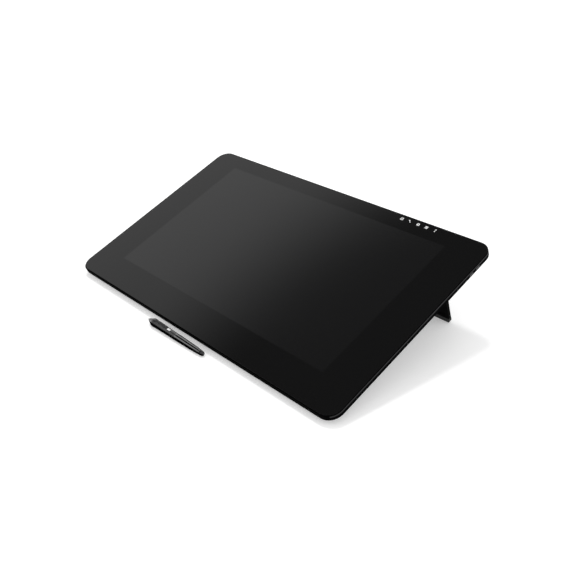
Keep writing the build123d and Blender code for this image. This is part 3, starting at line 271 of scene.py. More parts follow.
tracksGroup = buildTracks()
boardLook = {
    "varnish": (0.012, 0.085, 0.040),
    "track": (0.030, 0.16, 0.075),
    "pad": (0.60, 0.52, 0.34),
    "pitch": 700.0,  # lines in a metre
    "grain": 2500.0,
    "patch": 20.0,
    "shade": 0.75,  # of the varnish in its darker patches
    "rough": (0.3, 0.4),
    "relief": 0.00003,
}


def boardMaterial(name):
    material, tree, shader, coords = newMaterial(name)
    tracks = tree.nodes.new("ShaderNodeGroup")
    tracks.node_tree = tracksGroup
    tree.links.new(coords, tracks.inputs["Vector"])
    tracks.inputs["Pitch"].default_value = boardLook["pitch"]
    patch = addGrain(tree, coords, boardLook["grain"], boardLook["patch"], 0.0).outputs["Patch"]
    shaded = tuple(value * boardLook["shade"] for value in boardLook["varnish"])
    base = mixColour(tree, patch, shaded, boardLook["varnish"])
    tracked = mixColour(tree, tracks.outputs["Track"], base, boardLook["track"])
    colour = mixColour(tree, tracks.outputs["Pad"], tracked, boardLook["pad"])
    tree.links.new(colour, shader.inputs["Base Color"])
    tree.links.new(tracks.outputs["Pad"], shader.inputs["Metallic"])
    tree.links.new(spread(tree, patch, *boardLook["rough"]), shader.inputs["Roughness"])
    height = mathNode(tree, "MAXIMUM", tracks.outputs["Track"], tracks.outputs["Pad"])
    addBump(tree, shader, height, boardLook["relief"])
    return material


# Rows of small round pits, seen from above: one between them and zero inside, in shares of the pitch
pits = {
    "middle": (0.5, 0.5, 0),
    "bottom": 0.22,
    "brim": 0.34,
    "shade": 0.35,  # painted shade inside the pits: this share of the finish's darker colour
}


def pitHeight(tree, coords, pitch):
    cells = tree.nodes.new("ShaderNodeVectorMath")
    cells.operation = "SCALE"
    cells.inputs["Scale"].default_value = 1 / pitch
    tree.links.new(coords, cells.inputs[0])
    inside = tree.nodes.new("ShaderNodeVectorMath")
    inside.operation = "FRACTION"
    tree.links.new(cells.outputs[0], inside.inputs[0])
    flat = tree.nodes.new("ShaderNodeVectorMath")
    flat.operation = "MULTIPLY"
    flat.inputs[1].default_value = (1, 1, 0)
    tree.links.new(inside.outputs[0], flat.inputs[0])
    reach = tree.nodes.new("ShaderNodeVectorMath")
    reach.operation = "DISTANCE"
    reach.inputs[1].default_value = pits["middle"]
    tree.links.new(flat.outputs[0], reach.inputs[0])
    edge = tree.nodes.new("ShaderNodeMapRange")
    edge.interpolation_type = "SMOOTHSTEP"
    edge.inputs["From Min"].default_value = pits["bottom"]
    edge.inputs["From Max"].default_value = pits["brim"]
    tree.links.new(reach.outputs["Value"], edge.inputs["Value"])
    return edge.outputs["Result"]


roughSpread = {"surface": 0.05, "glass": 0.01}  # how far roughness strays from its middle


# One recipe for moulded plastic, rubber, painted and plain metal
def surfaceMaterial(name, dark, light, rough, metal=0.0, grain=3000.0, bump=0.00002,
                    patch=14.0, specks=0.1, speckColour=(0.3, 0.3, 0.3), coat=0.0, coatRough=0.03,
                    gloss=0.5, dots=None, stretch=None):
    material, tree, shader, coords = newMaterial(name)
    if stretch:
        brush = tree.nodes.new("ShaderNodeMapping")
        brush.inputs["Scale"].default_value = stretch
        tree.links.new(coords, brush.inputs["Vector"])
        coords = brush.outputs["Vector"]
    grainNode = addGrain(tree, coords, grain, patch, specks)
    base = mixColour(tree, grainNode.outputs["Patch"], dark, light)
    colour = mixColour(tree, grainNode.outputs["Speck"], base, speckColour)
    height, depth = grainNode.outputs["Height"], bump
    if dots:
        pitch, depth = dots
        height = pitHeight(tree, coords, pitch)
        # Darker colour inside the pits: painted shade
        colour = mixColour(tree, height, tuple(value * pits["shade"] for value in dark), colour)
    tree.links.new(colour, shader.inputs["Base Color"])
    lowest, highest = rough - roughSpread["surface"], rough + roughSpread["surface"]
    roughness = spread(tree, grainNode.outputs["Patch"], lowest, highest)
    tree.links.new(roughness, shader.inputs["Roughness"])
    addBump(tree, shader, height, depth)
    shader.inputs["Metallic"].default_value = metal
    shader.inputs["Coat Weight"].default_value = coat
    shader.inputs["Coat Roughness"].default_value = coatRough
    shader.inputs["Specular IOR Level"].default_value = gloss
    return material


# Grain is in bumps per metre, bump is their height in metres, and dots are a pitch and a depth
finishes = {
    "rim": dict(dark=(0.0014, 0.0014, 0.0015), light=(0.0022, 0.0022, 0.0023), rough=0.7,
                grain=2600.0, bump=0.000008, gloss=0.005, speckColour=(0.006, 0.006, 0.006)),
    # A paler finish for a band of the middle frame: a painted highlight
    "rimPaintedHighlight": dict(dark=(0.026, 0.026, 0.027), light=(0.033, 0.033, 0.034), rough=0.5,
                   grain=2600.0, bump=0.000008, gloss=0.06),
    "shell": dict(dark=(0.016, 0.016, 0.0168), light=(0.021, 0.021, 0.022), rough=0.5,
                  grain=1500.0, bump=0.00005, gloss=0.3),
    # The leg's near-black finish is painted shade; the paler copy below is painted light on the faces that
    # look back
    "leg": dict(dark=(0.0014, 0.0014, 0.0015), light=(0.0024, 0.0024, 0.0026), rough=0.6,
                grain=1800.0, bump=0.00004, gloss=0.015, speckColour=(0.006, 0.006, 0.006)),
    "legBackPaintedLight": dict(dark=(0.010, 0.010, 0.0106), light=(0.014, 0.014, 0.0148), rough=0.5,
                    grain=1800.0, bump=0.00005, gloss=0.3, speckColour=(0.05, 0.05, 0.05)),
    "sidePort": dict(dark=(0.10, 0.10, 0.10), light=(0.14, 0.14, 0.14), rough=0.4, metal=0.7,
                     bump=0.000006),
    "rubber": dict(dark=(0.014, 0.014, 0.014), light=(0.020, 0.020, 0.020), rough=0.75,
                   grain=2200.0, bump=0.00005),
    "penShell": dict(dark=(0.011, 0.011, 0.0114), light=(0.014, 0.014, 0.0145), rough=0.24,
                     grain=2600.0, bump=0.000003, gloss=0.9, coat=1.0, coatRough=0.14),
    # Near-black finish for the pen's underside: painted shade
    "penPaintedShadeUnder": dict(dark=(0.0008, 0.0008, 0.0009), light=(0.0014, 0.0014, 0.0015), rough=0.8,
                     grain=2600.0, bump=0.00001, gloss=0.0, speckColour=(0.004, 0.004, 0.004)),
    # Near-black finish between the pen's ribs: painted shade in the grooves
    "penGroovePaintedShade": dict(dark=(0.0012, 0.0012, 0.0013), light=(0.002, 0.002, 0.0021), rough=0.6,
                      grain=2600.0, bump=0.000006, gloss=0.05, speckColour=(0.006, 0.006, 0.006)),
    "penGrip": dict(dark=(0.011, 0.011, 0.0114), light=(0.014, 0.014, 0.0145), rough=0.26,
                    grain=2600.0, bump=0.000004, gloss=0.9, coat=0.8, coatRough=0.18),
    "penCone": dict(dark=(0.013, 0.013, 0.0136), light=(0.017, 0.017, 0.0177), rough=0.28,
                    grain=2600.0, bump=0.000004, gloss=0.8, coat=0.5, coatRough=0.18),
    # Pale grey for the raised ribs: partly their own colour, partly a painted highlight along the barrel's
    # top
    "penRibPaintedHighlight": dict(dark=(0.115, 0.115, 0.116), light=(0.130, 0.130, 0.131), rough=0.26,
                   grain=2600.0, bump=0.000003, gloss=0.9, coat=0.8, coatRough=0.14),
    "penEnd": dict(dark=(0.034, 0.034, 0.035), light=(0.042, 0.042, 0.043), rough=0.5,
                   grain=2600.0, bump=0.00001, gloss=0.4),
    "nib": dict(dark=(0.010, 0.010, 0.010), light=(0.014, 0.014, 0.014), rough=0.45,
                grain=4000.0, bump=0.000004),
    "penSwitch": dict(dark=(0.016, 0.016, 0.017), light=(0.022, 0.022, 0.023), rough=0.42,
                      dots=(0.0016, 0.0003)),
    # Near-white patch behind the switch: a painted highlight
    "penPaintedGlint": dict(dark=(0.78, 0.78, 0.78), light=(0.84, 0.84, 0.84), rough=0.25, bump=0.000004),
    "plastic": dict(dark=(0.020, 0.020, 0.020), light=(0.028, 0.028, 0.028), rough=0.5),
    "steel": dict(dark=(0.40, 0.40, 0.40), light=(0.5, 0.5, 0.5), rough=0.35, metal=1.0,
                  stretch=(0.06, 1.0, 1.0)),
    "nickel": dict(dark=(0.42, 0.42, 0.43), light=(0.55, 0.55, 0.56), rough=0.3, metal=1.0,
                   bump=0.000006),
    "blackSteel": dict(dark=(0.05, 0.05, 0.05), light=(0.07, 0.07, 0.07), rough=0.4, metal=0.9),
    "copper": dict(dark=(0.55, 0.26, 0.16), light=(0.66, 0.34, 0.22), rough=0.35, metal=1.0),
    "brass": dict(dark=(0.6, 0.45, 0.2), light=(0.7, 0.55, 0.28), rough=0.35, metal=1.0),
    "aluminium": dict(dark=(0.55, 0.55, 0.56), light=(0.7, 0.7, 0.71), rough=0.4, metal=1.0,
                      stretch=(1.0, 0.06, 1.0)),
    "keyPrint": dict(dark=(0.78, 0.78, 0.78), light=(0.85, 0.85, 0.85), rough=0.5, specks=0.0),
    "ribbon": dict(dark=(0.35, 0.17, 0.03), light=(0.42, 0.22, 0.05), rough=0.35),
    "diffuser": dict(dark=(0.6, 0.62, 0.64), light=(0.66, 0.68, 0.7), rough=0.6),
    "film": dict(dark=(0.03, 0.03, 0.035), light=(0.04, 0.04, 0.045), rough=0.2),
    "ferrite": dict(dark=(0.03, 0.03, 0.03), light=(0.05, 0.05, 0.05), rough=0.7),
}
made = {name: surfaceMaterial(name, **recipe) for name, recipe in finishes.items()}
made["board"] = boardMaterial("board")

# Front glass: satin surface over a black border, the window a shade lighter
glassLook = {
    "glassBorder": dict(
        dark=(0.0040, 0.0040, 0.0041), light=(0.0047, 0.0047, 0.0048), ior=1.46, rough=0.06,
    ),
    "glassWindow": dict(
        dark=(0.0048, 0.0048, 0.0050), light=(0.0056, 0.0056, 0.0058), ior=1.57, rough=0.13,
    ),
}
glassGrain = {"fine": 3500.0, "patch": 6.0, "bump": 0.000001}


def glassMaterial(name, dark, light, ior, rough):
    material, tree, shader, coords = newMaterial(name)
    grain = addGrain(tree, coords, glassGrain["fine"], glassGrain["patch"], 0.0)
    colour = mixColour(tree, grain.outputs["Patch"], dark, light)
    tree.links.new(colour, shader.inputs["Base Color"])
    lowest, highest = rough - roughSpread["glass"], rough + roughSpread["glass"]
    roughness = spread(tree, grain.outputs["Patch"], lowest, highest)
    tree.links.new(roughness, shader.inputs["Roughness"])
    shader.inputs["IOR"].default_value = ior
    addBump(tree, shader, grain.outputs["Height"], glassGrain["bump"])
    return material


for name, recipe in glassLook.items():
    made[name] = glassMaterial(name, **recipe)

# Every CAD node gets its finish first; the detailed pieces come after
nodeFinish = {
    "cover_glass": "glassBorder", "glass_gasket": "rubber", "touch_key_board": "board",
    "touch_sensor": "film", "lcd_panel": "film", "backlight": "diffuser",
    "digitizer_board": "board", "mid_frame": "rim", "shield_plate": "steel",
    "board_standoffs": "brass", "main_board": "board", "panel_ribbons": "ribbon",
    "cold_plate": "copper", "heat_pipes": "copper", "heat_fins_left": "aluminium",
    "heat_fins_right": "aluminium", "fan_housing_left": "plastic",
    "fan_housing_right": "plastic", "fan_rotor_left": "plastic", "fan_rotor_right": "plastic",
    "rear_cover": "shell", "case_screws": "blackSteel", "vesa_bracket": "steel",
    "front_foot_left": "rubber", "front_foot_right": "rubber", "rear_foot_left": "rubber",
    "rear_foot_right": "rubber", "leg_pin_left": "steel", "leg_pin_right": "steel",
    "leg_left": "leg", "leg_right": "leg", "leg_pad_left": "rubber", "leg_pad_right": "rubber",
    "port_board": "board", "power_jack": "plastic", "usb_socket": "nickel",
    "displayport_socket": "nickel", "hdmi_socket": "nickel", "side_ports_left": "sidePort",
    "side_ports_right": "sidePort", "headphone_jack": "plastic", "button_board": "board",
    "cable_cover": "shell", "power_button": "plastic", "touch_switch": "plastic",
    "pen_nose": "penCone", "pen_grip": "penGrip", "pen_barrel": "penShell",
    "pen_board": "board", "pen_coil": "ferrite", "pen_nib": "nib",
    "pen_switch": "penSwitch", "pen_eraser": "penEnd",
}
for name, node in nodes.items():
    node.data.materials.clear()
    node.data.materials.append(made[nodeFinish[name]])
bodyOf = {
    node: body
    for body, members in frame["record"]["behaviour"]["bodies"].items()
    for node in members
}
print("materials placed")

# Limits that shape every made piece, angles in degrees
shaping = {
    "crease": 35.0,  # edges from here up are shaded sharp
    "flat": 0.6,  # triangles this close to one plane become one face
    "corner": 32.0,  # edges of a CAD node from here up are rounded
    "merge": 0.000002,
}


# Turns a finished bmesh into a piece that rides on a body
def makePiece(bm, name, material, body, replaced=()):
    crease = math.radians(shaping["crease"])
    for edge in bm.edges:
        edge.smooth = len(edge.link_faces) == 2 and edge.calc_face_angle(0) < crease
    for face in bm.faces:
        face.smooth = True
    mesh = bpy.data.meshes.new(name)
    bm.to_mesh(mesh)
    bm.free()
    piece = bpy.data.objects.new(name, mesh)
    bpy.context.scene.collection.objects.link(piece)
    mesh.materials.append(material)
    even = piece.modifiers.new("evenNormals", "WEIGHTED_NORMAL")
    even.keep_sharp = True
    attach(piece, body)
    if replaced:
        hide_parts(*replaced)
    return piece


def roundEdges(bm, width, angle, segments=2):
    sharp = [
        edge for edge in bm.edges
        if len(edge.link_faces) == 2 and edge.calc_face_angle(0) > math.radians(angle)
    ]
    bmesh.ops.bevel(
        bm, geom=sharp, offset=width, segments=segments, profile=0.5, affect="EDGES",
        clamp_overlap=True, material=-1,
    )


def cutLine(bm, place, direction):
    bmesh.ops.bisect_plane(
        bm, geom=bm.verts[:] + bm.edges[:] + bm.faces[:], plane_co=place, plane_no=direction
    )


# A copy of a CAD node with merged faces and small rounded edges
def softCopy(node, name, width, segments=2, cut=None):
    bm = bmesh.new()
    bm.from_mesh(nodes[node].data)
    bmesh.ops.remove_doubles(bm, verts=bm.verts, dist=shaping["merge"])
    bmesh.ops.dissolve_limit(
        bm, angle_limit=math.radians(shaping["flat"]), verts=bm.verts, edges=bm.edges,
        use_dissolve_boundaries=False,
    )
    roundEdges(bm, width, shaping["corner"], segments)
    if cut:
        cutLine(bm, *cut)
    return makePiece(
        bm, name, made[nodeFinish[node]], bodyOf[node], replaced=(node,)
    )


# A flat plate with rounded corners, and the step that gives it its thickness
def flatPlate(length, depth, radius, segments):
    bm = bmesh.new()
    bmesh.ops.create_grid(bm, x_segments=1, y_segments=1, size=0.5)
    bmesh.ops.scale(bm, vec=(length, depth, 1), verts=bm.verts)
    bmesh.ops.bevel(
        bm, geom=bm.verts[:], offset=radius, segments=segments, profile=0.5,
        affect="VERTICES", material=-1,
    )
    return bm


def thicken(bm, thick):
    raised = bmesh.ops.extrude_face_region(bm, geom=bm.faces[:])
    tops = [item for item in raised["geom"] if isinstance(item, bmesh.types.BMVert)]
    bmesh.ops.translate(bm, vec=(0, 0, thick), verts=tops)
    bmesh.ops.recalc_face_normals(bm, faces=bm.faces)


# Front glass with a softly rounded edge
glassPlate = {
    "cornerRadius": 0.02225,
    "cornerSegments": 24,
    "edge": 0.0005,
    "edgeSegments": 3,
    "edgeFrom": 28.0,  # degrees between the faces of an edge that is rounded
    "windowLeft": -0.2675,
    "windowRight": 0.2675,
    "windowFront": -0.13805,
    "windowBack": 0.16245,
}


def addGlass():
    low, high = (Vector(corner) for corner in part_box("cover_glass"))
    thick = slab["glassThick"]
    length = high.x - low.x
    depth = (high.y - low.y - thick * math.sin(slab["tilt"])) / math.cos(slab["tilt"])
    bm = flatPlate(length, depth, glassPlate["cornerRadius"], glassPlate["cornerSegments"])
    thicken(bm, thick)
    bmesh.ops.translate(bm, vec=(0, 0, -thick), verts=bm.verts)
    edgeFrom = math.radians(glassPlate["edgeFrom"])
    rim = [
        edge for edge in bm.edges
        if all(vert.co.z > -thick / 2 for vert in edge.verts) and edge.calc_face_angle(0) > edgeFrom
    ]
    bmesh.ops.bevel(
        bm, geom=rim, offset=glassPlate["edge"], segments=glassPlate["edgeSegments"],
        profile=0.5, affect="EDGES", material=-1,
    )
    left, right = glassPlate["windowLeft"], glassPlate["windowRight"]
    front, back = glassPlate["windowFront"], glassPlate["windowBack"]
    for x in (left, right):
        cutLine(bm, (x, 0, 0), (1, 0, 0))
    for y in (front, back):
        cutLine(bm, (0, y, 0), (0, 1, 0))
    for face in bm.faces:
        middle = face.calc_center_median()
        inside = left < middle.x < right and front < middle.y < back
        face.material_index = int(inside and middle.z > -thick / 4)
    bmesh.ops.transform(bm, matrix=tabletFrame, verts=bm.verts)
    plate = makePiece(bm, "glassFront", made["glassBorder"], "tablet", ("cover_glass",))
    plate.data.materials.append(made["glassWindow"])


addGlass()
print("glass made")

# Small rounded edges on the CAD pieces that show
softEdges = {
    "rear_cover": 0.0004, "leg_left": 0.0005, "leg_right": 0.0005,
    "leg_pad_left": 0.0004, "leg_pad_right": 0.0004, "cable_cover": 0.0003,
    "front_foot_left": 0.0003, "front_foot_right": 0.0003, "rear_foot_left": 0.0003,
    "rear_foot_right": 0.0003, "mid_frame": 0.0002, "power_button": 0.0002,
    "touch_switch": 0.0002,
}
# A painted highlight: a paler band along both sides of the middle frame that stands in for light caught by
# its edge, in the tablet's own frame
rimHighlightBand = {"top": -0.0009, "bottom": -0.0034, "side": 0.33, "facing": 0.3}
legBackPaintedLight = {"facing": 0.3}  # a leg's faces that look back further than this get a paler copy of its finish, painted light; the darker finish on the rest is painted shade


def addMiddleFrame(width):
    toSlab = tabletFrame.inverted()
    bandBottom = tabletFrame @ Vector((0, 0, rimHighlightBand["bottom"]))
    glassUp = tabletFrame.to_3x3() @ Vector((0, 0, 1))
    piece = softCopy("mid_frame", "MidFrame", width, cut=(bandBottom, glassUp))
    piece.data.materials.append(made["rimPaintedHighlight"])
    # Band faces on the left and right sides get the painted highlight
    for face in piece.data.polygons:
        spot = toSlab @ face.center
        level = rimHighlightBand["bottom"] < spot.z < rimHighlightBand["top"]
        outside = abs(spot.x) > rimHighlightBand["side"] and abs(face.normal.x) > rimHighlightBand["facing"]
        face.material_index = int(level and outside)
    return piece


def addLeg(node, name, width):
    piece = softCopy(node, name, width)
    piece.data.materials.append(made["legBackPaintedLight"])
    # Faces that look back get the paler copy, painted light
    for face in piece.data.polygons:
        face.material_index = int(face.normal.y > legBackPaintedLight["facing"])
    return piece


for node, width in softEdges.items():
    name = node.title().replace("_", "")
    if node == "mid_frame":
        piece = addMiddleFrame(width)
    elif node in ("leg_left", "leg_right"):
        piece = addLeg(node, name, width)
    else:
        piece = softCopy(node, name, width)
    print("softened", node, len(piece.data.polygons))

# Five printed signs over the touch keys: thin plates on the glass, in metres
keySigns = {"row": 0.1865, "thick": 0.00004, "lift": 0.00001, "segments": 4}

# How far across each sign is, and its plates; one that has a line is a frame of that width
signs = {
    "signScreen": (0.1587, [
        dict(width=0.0058, depth=0.0058, radius=0.0013, line=0.0012),
        dict(width=0.0020, depth=0.0010, radius=0.0003),
    ]),
    "signWrench": (0.1760, [
        dict(width=0.0013, depth=0.0056, radius=0.0005, turn=42.0),
        dict(width=0.0026, depth=0.0022, radius=0.0008, turn=42.0, shift=(-0.0022, 0.0023)),
    ]),
    "signKnob": (0.1940, [dict(width=0.0058, depth=0.0056, radius=0.0020, line=0.0019)]),
    "signKeyboard": (0.2116, [
        dict(width=0.0056, depth=0.0015, radius=0.0003, shift=(0, row)) for row in (-0.0020, 0, 0.0020)
    ]),
    "signBrush": (0.2299, [
        dict(width=0.0014, depth=0.0036, radius=0.0005, shift=(0, -0.0018)),
        dict(width=0.0022, depth=0.0026, radius=0.0009, shift=(0, 0.0020)),
    ]),
}


def signPart(across, width, depth, radius, shift=(0, 0), turn=0.0, line=None):
    bm = flatPlate(width, depth, radius, keySigns["segments"])
    if line:
        middle = bm.faces[:]
        bmesh.ops.inset_region(
            bm, faces=middle, thickness=line, use_even_offset=True, use_boundary=True,
        )
        bmesh.ops.delete(bm, geom=middle, context="FACES")
    thicken(bm, keySigns["thick"])
    place = Matrix.Translation((across + shift[0], keySigns["row"] + shift[1], keySigns["lift"]))
    bmesh.ops.transform(bm, matrix=place @ Matrix.Rotation(math.radians(turn), 4, "Z"), verts=bm.verts)
    return bm


def addSign(name, across, plates):
    whole = bmesh.new()
    for plate in plates:
        part = signPart(across, **plate)
        mesh = bpy.data.meshes.new(name + "Part")
        part.to_mesh(mesh)
        part.free()
        whole.from_mesh(mesh)
        bpy.data.meshes.remove(mesh)
    bmesh.ops.transform(whole, matrix=tabletFrame, verts=whole.verts)
    makePiece(whole, name, made["keyPrint"], "tablet")


for name, (across, plates) in signs.items():
    addSign(name, across, plates)
print("signs made")

# Pen: turned pieces on its own axis, pointing along X from the tip
penFrame = {
    "tip": (-0.0862, -0.189968, 0.00780107),
    "pitch": math.asin(0.018505),
    "turn": math.radians(0.64),
    "paintedShadeReach": math.radians(27.0),  # how far up the painted shade on the pen's underside comes on both sides
    "millimetre": 0.001,  # the pen's lines and radii are in millimetres
    "corner": 28.0,  # degrees between the faces of an edge that is rounded
    "merge": 0.000001,
    "steps": 64,
    "arcSteps": 8,
}


def penMatrix():
    turn = Matrix.Rotation(penFrame["turn"], 4, "Z") @ Matrix.Rotation(penFrame["pitch"], 4, "Y")
    return Matrix.Translation(penFrame["tip"]) @ turn


# Spins a line of (along, radius) points about the pen's axis, all round or over an arc, which is in
# degrees up from the side that faces the front
def turnedPart(line, closed, edge, arc=None):
    bm = bmesh.new()
    first, last = arc or (0.0, 360.0)
    start = Matrix.Rotation(math.radians(-first), 3, "X") * penFrame["millimetre"]
    points = [bm.verts.new(start @ Vector((along, -radius, 0))) for along, radius in line]
    edges = [bm.edges.new(pair) for pair in zip(points, points[1:])]
    if closed:
        edges.append(bm.edges.new((points[-1], points[0])))
    faces = [bm.faces.new(points)] if arc else []
    bmesh.ops.spin(
        bm, geom=points + edges + faces, cent=(0, 0, 0), axis=(-1, 0, 0),
        angle=math.radians(last - first), steps=penFrame["arcSteps" if arc else "steps"],
        use_merge=not arc,
    )
    bmesh.ops.remove_doubles(bm, verts=bm.verts, dist=penFrame["merge"])
    bmesh.ops.recalc_face_normals(bm, faces=bm.faces)
    roundEdges(bm, edge * penFrame["millimetre"], penFrame["corner"])
    return bm


# Gives faces below the shade line a near-black finish, painted shade on the underside, and faces among the
# ribs a near-black finish, painted shade in the grooves
def finishPen(bm, name, material, node, replaced=(), grooves=None):
    paintedShadeReach = math.sin(penFrame["paintedShadeReach"])
    for face in bm.faces:
        middle = face.calc_center_median()
        under = middle.z < paintedShadeReach * math.hypot(middle.y, middle.z)
        grooved = grooves and grooves[0] < middle.x / penFrame["millimetre"] < grooves[1]
        face.material_index = 1 if under else 2 if grooved else 0
    bmesh.ops.transform(bm, matrix=penMatrix(), verts=bm.verts)
    piece = makePiece(bm, name, made[material], bodyOf[node], replaced)
    piece.data.materials.append(made["penPaintedShadeUnder"])
    piece.data.materials.append(made["penGroovePaintedShade"])


# Outer line of each turned piece, then its inner line back to the start where it is hollow
penTurned = {
    "penTip": dict(
        outer=[(0.0, 0.0), (0.05, 0.28), (0.3, 0.55), (0.7, 0.72), (2.4, 0.95), (24.0, 0.95), (24.0, 0.0)],
        inner=[], edge=0.04, material="nib", node="pen_nib",
    ),
    "penCone": dict(
        outer=[(2.4, 1.45), (2.65, 1.75), (6.0, 3.15), (9.0, 4.4), (12.0, 5.6), (15.6, 6.95), (16.2, 7.1)],
        inner=[(16.2, 6.2), (21.2, 6.1), (21.2, 4.9), (16.2, 4.9), (9.3, 1.1), (2.4, 1.1)],
        edge=0.12, material="penCone", node="pen_nose",
    ),
    "penSleeve": dict(
        outer=[(16.25, 7.05), (17.2, 7.36), (18.4, 7.46), (20.0, 7.36), (23.0, 7.1), (28.0, 6.88),
               (34.0, 6.76), (41.0, 6.68), (48.0, 6.6), (56.0, 6.5), (65.6, 6.38), (66.0, 6.28)],
        inner=[(66.0, 5.15), (21.3, 6.14), (16.25, 6.25)],
        edge=0.12, material="penGrip", node="pen_grip",
    ),
    "penBody": dict(
        outer=[(66.1, 6.24), (66.5, 6.38), (75.0, 6.31), (84.0, 6.2), (93.0, 6.06), (102.0, 5.88),
               (111.0, 5.68), (120.0, 5.44), (129.0, 5.17), (138.0, 4.84), (142.0, 4.6), (146.0, 4.3)],
        inner=[(146.0, 1.95), (138.0, 1.95), (138.0, 3.55), (102.0, 4.6), (61.0, 3.8), (61.0, 5.0),
               (66.1, 5.0)],
        edge=0.12, material="penShell", node="pen_barrel", grooves=(80.6, 143.8),
    ),
    "penEnd": dict(
        outer=[(132.0, 0.0), (132.0, 1.8), (147.2, 1.8), (147.2, 4.13), (148.4, 4.1), (150.0, 3.8),
               (151.4, 3.1), (152.3, 2.0), (152.6, 0.9), (152.62, 0.0)],
        inner=[], edge=0.2, material="penEnd", node="pen_eraser",
    ),
}
for name, part in penTurned.items():
    bm = turnedPart(part["outer"] + part["inner"], bool(part["inner"]), part["edge"])
    finishPen(bm, name, part["material"], part["node"], (part["node"],), part.get("grooves"))

# Raised ribs along the top of the body, with grooves between them; their pale finish is partly their own
# colour and partly a painted highlight along the barrel's top
penRibs = {
    "start": (80.0, 6.25),
    "end": (144.5, 4.42),
    "follow": (84.0, 138.0),  # between these they lie on the body's outer line
    "proud": 0.22,
    "sunk": 0.5,
    "edge": 0.12,
    "arcs": ((33.0, 54.0), (75.0, 97.0), (121.0, 138.0)),
}


def addRibs():
    first, last = penRibs["follow"]
    middle = [point for point in penTurned["penBody"]["outer"] if first <= point[0] <= last]
    base = [penRibs["start"], *middle, penRibs["end"]]
    raised = [(along, radius + penRibs["proud"]) for along, radius in middle]
    inner = [(along, radius - penRibs["sunk"]) for along, radius in reversed(base)]
    line = [penRibs["start"], *raised, penRibs["end"], *inner]
    for number, arc in enumerate(penRibs["arcs"]):
        bm = turnedPart(line, True, penRibs["edge"], arc)
        finishPen(bm, f"penRibPaintedHighlight{number}", "penRibPaintedHighlight", "pen_barrel")


addRibs()

# Side switch: a soft copy of the node, and behind it a pale patch, a painted highlight
penRocker = {"edge": 0.00045, "segments": 3}
softCopy("pen_switch", "penRocker", penRocker["edge"], penRocker["segments"])
penPaintedGlint = {
    "line": [(57.2, 6.2), (57.2, 6.5), (58.2, 6.72), (61.5, 6.72), (64.6, 6.6), (65.4, 6.42), (65.4, 6.1)],
    "edge": 0.15,
    "arc": (66.0, 98.0),
}
bm = turnedPart(penPaintedGlint["line"], True, penPaintedGlint["edge"], penPaintedGlint["arc"])
finishPen(bm, "penPaintedGlint", "penPaintedGlint", "pen_grip")
print("pen made")

# Studio: pale floor, a small sun overhead and a surround that is bright low down
studio = {
    "floorHalf": 12.0,
    "floorColour": (0.86, 0.86, 0.86),
    "floorGlow": 0.34,  # lifts the floor to white where it is seen, lights nothing
    "lampFrom": (-0.29, 0.2, 1.0),
    "lampStrength": 0.75,
    "lampAngle": math.radians(8.0),
    # what matt surfaces get: a level, and how it changes along each axis
    "mattLevel": 0.95,
    "mattLean": (0.20, -0.20, -0.15),
    # sine of the height above the horizon, and how bright the surround is there
    "surround": ((0.0, 1.0), (0.42, 0.66), (0.645, 0.672), (0.747, 0.07), (1.0, 0.06)),
    "surroundLean": math.radians(-7.1),
    # the surround comes up between these two depths, and this share of it is left in front
    "darkSide": (-0.85, -0.4, 0.12),
}


def addLamp():
    data = bpy.data.lights.new("studioSun", "SUN")
    data.energy = studio["lampStrength"]
    data.angle = studio["lampAngle"]
    lamp = bpy.data.objects.new("studioSun", data)
    bpy.context.scene.collection.objects.link(lamp)
    lamp.rotation_euler = Vector(studio["lampFrom"]).to_track_quat("Z", "Y").to_euler()
    lamp.visible_glossy = False  # the surround alone is mirrored, so no hot spot on the glass


# One where a camera, glossy or transmitted ray looks, nothing for other rays
def seenRays(tree):
    path = tree.nodes.new("ShaderNodeLightPath")
    seen = mathNode(tree, "MAXIMUM", path.outputs["Is Camera Ray"], path.outputs["Is Glossy Ray"])
    return mathNode(tree, "MAXIMUM", seen, path.outputs["Is Transmission Ray"])


def addFloor():
    bm = bmesh.new()
    bmesh.ops.create_grid(bm, x_segments=1, y_segments=1, size=studio["floorHalf"])
    mesh = bpy.data.meshes.new("floor")
    bm.to_mesh(mesh)
    bm.free()
    floor = bpy.data.objects.new("floor", mesh)
    bpy.context.scene.collection.objects.link(floor)
    material, tree, shader = newMaterial("floorPaper")[:3]
    shader.inputs["Base Color"].default_value = (*studio["floorColour"], 1)
    shader.inputs["Roughness"].default_value = 1.0
    shader.inputs["Specular IOR Level"].default_value = 0.0
    shader.inputs["Emission Color"].default_value = (1, 1, 1, 1)
    glow = mathNode(tree, "MULTIPLY", seenRays(tree), studio["floorGlow"])
    tree.links.new(glow, shader.inputs["Emission Strength"])
    mesh.materials.append(material)


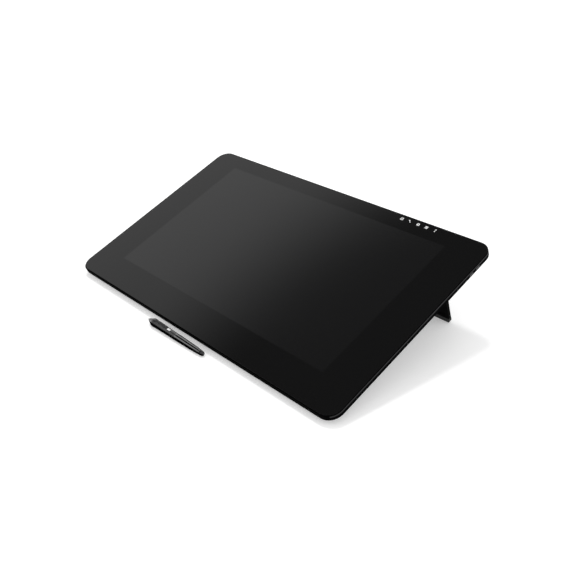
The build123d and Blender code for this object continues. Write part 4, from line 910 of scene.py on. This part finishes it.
def addWorld():
    world = bpy.data.worlds.new("studio")
    bpy.context.scene.world = world
    world.use_nodes = True
    tree = world.node_tree
    tree.nodes.clear()
    leave = tree.nodes.new("ShaderNodeOutputWorld")
    coords = tree.nodes.new("ShaderNodeTexCoord").outputs["Generated"]
    lean = tree.nodes.new("ShaderNodeMapping")
    lean.inputs["Rotation"].default_value = (studio["surroundLean"], 0, 0)
    tree.links.new(coords, lean.inputs["Vector"])
    split = tree.nodes.new("ShaderNodeSeparateXYZ")
    tree.links.new(lean.outputs["Vector"], split.inputs[0])
    ramp = tree.nodes.new("ShaderNodeValToRGB")
    ramp.color_ramp.interpolation = "EASE"
    tree.links.new(split.outputs["Z"], ramp.inputs["Fac"])
    stops = ramp.color_ramp.elements
    given = len(stops)  # stops that a new ramp has
    for index, (height, level) in enumerate(studio["surround"]):
        stop = stops[index] if index < given else stops.new(height)
        stop.position = height
        stop.color = (level, level, level, 1)
    fade = tree.nodes.new("ShaderNodeMapRange")
    fade.interpolation_type = "SMOOTHSTEP"
    front, back, least = studio["darkSide"]
    for label, value in (("From Min", front), ("From Max", back), ("To Min", least)):
        fade.inputs[label].default_value = value
    tree.links.new(split.outputs["Y"], fade.inputs["Value"])
    faded = mixColour(tree, fade.outputs["Result"], (0, 0, 0), ramp.outputs["Color"])
    path = tree.nodes.new("ShaderNodeLightPath")
    across = tree.nodes.new("ShaderNodeVectorMath")
    across.operation = "DOT_PRODUCT"
    across.inputs[1].default_value = studio["mattLean"]
    tree.links.new(coords, across.inputs[0])
    level = mathNode(tree, "ADD", across.outputs["Value"], studio["mattLevel"])
    matt = mixColour(tree, level, (0, 0, 0), (1, 1, 1))
    mirrored = mixColour(tree, path.outputs["Is Glossy Ray"], matt, faded)
    colour = mixColour(tree, path.outputs["Is Camera Ray"], mirrored, (1, 1, 1))
    background = tree.nodes.new("ShaderNodeBackground")
    tree.links.new(colour, background.inputs["Color"])
    tree.links.new(background.outputs[0], leave.inputs["Surface"])


addLamp()
addFloor()
addWorld()
print("studio ready")
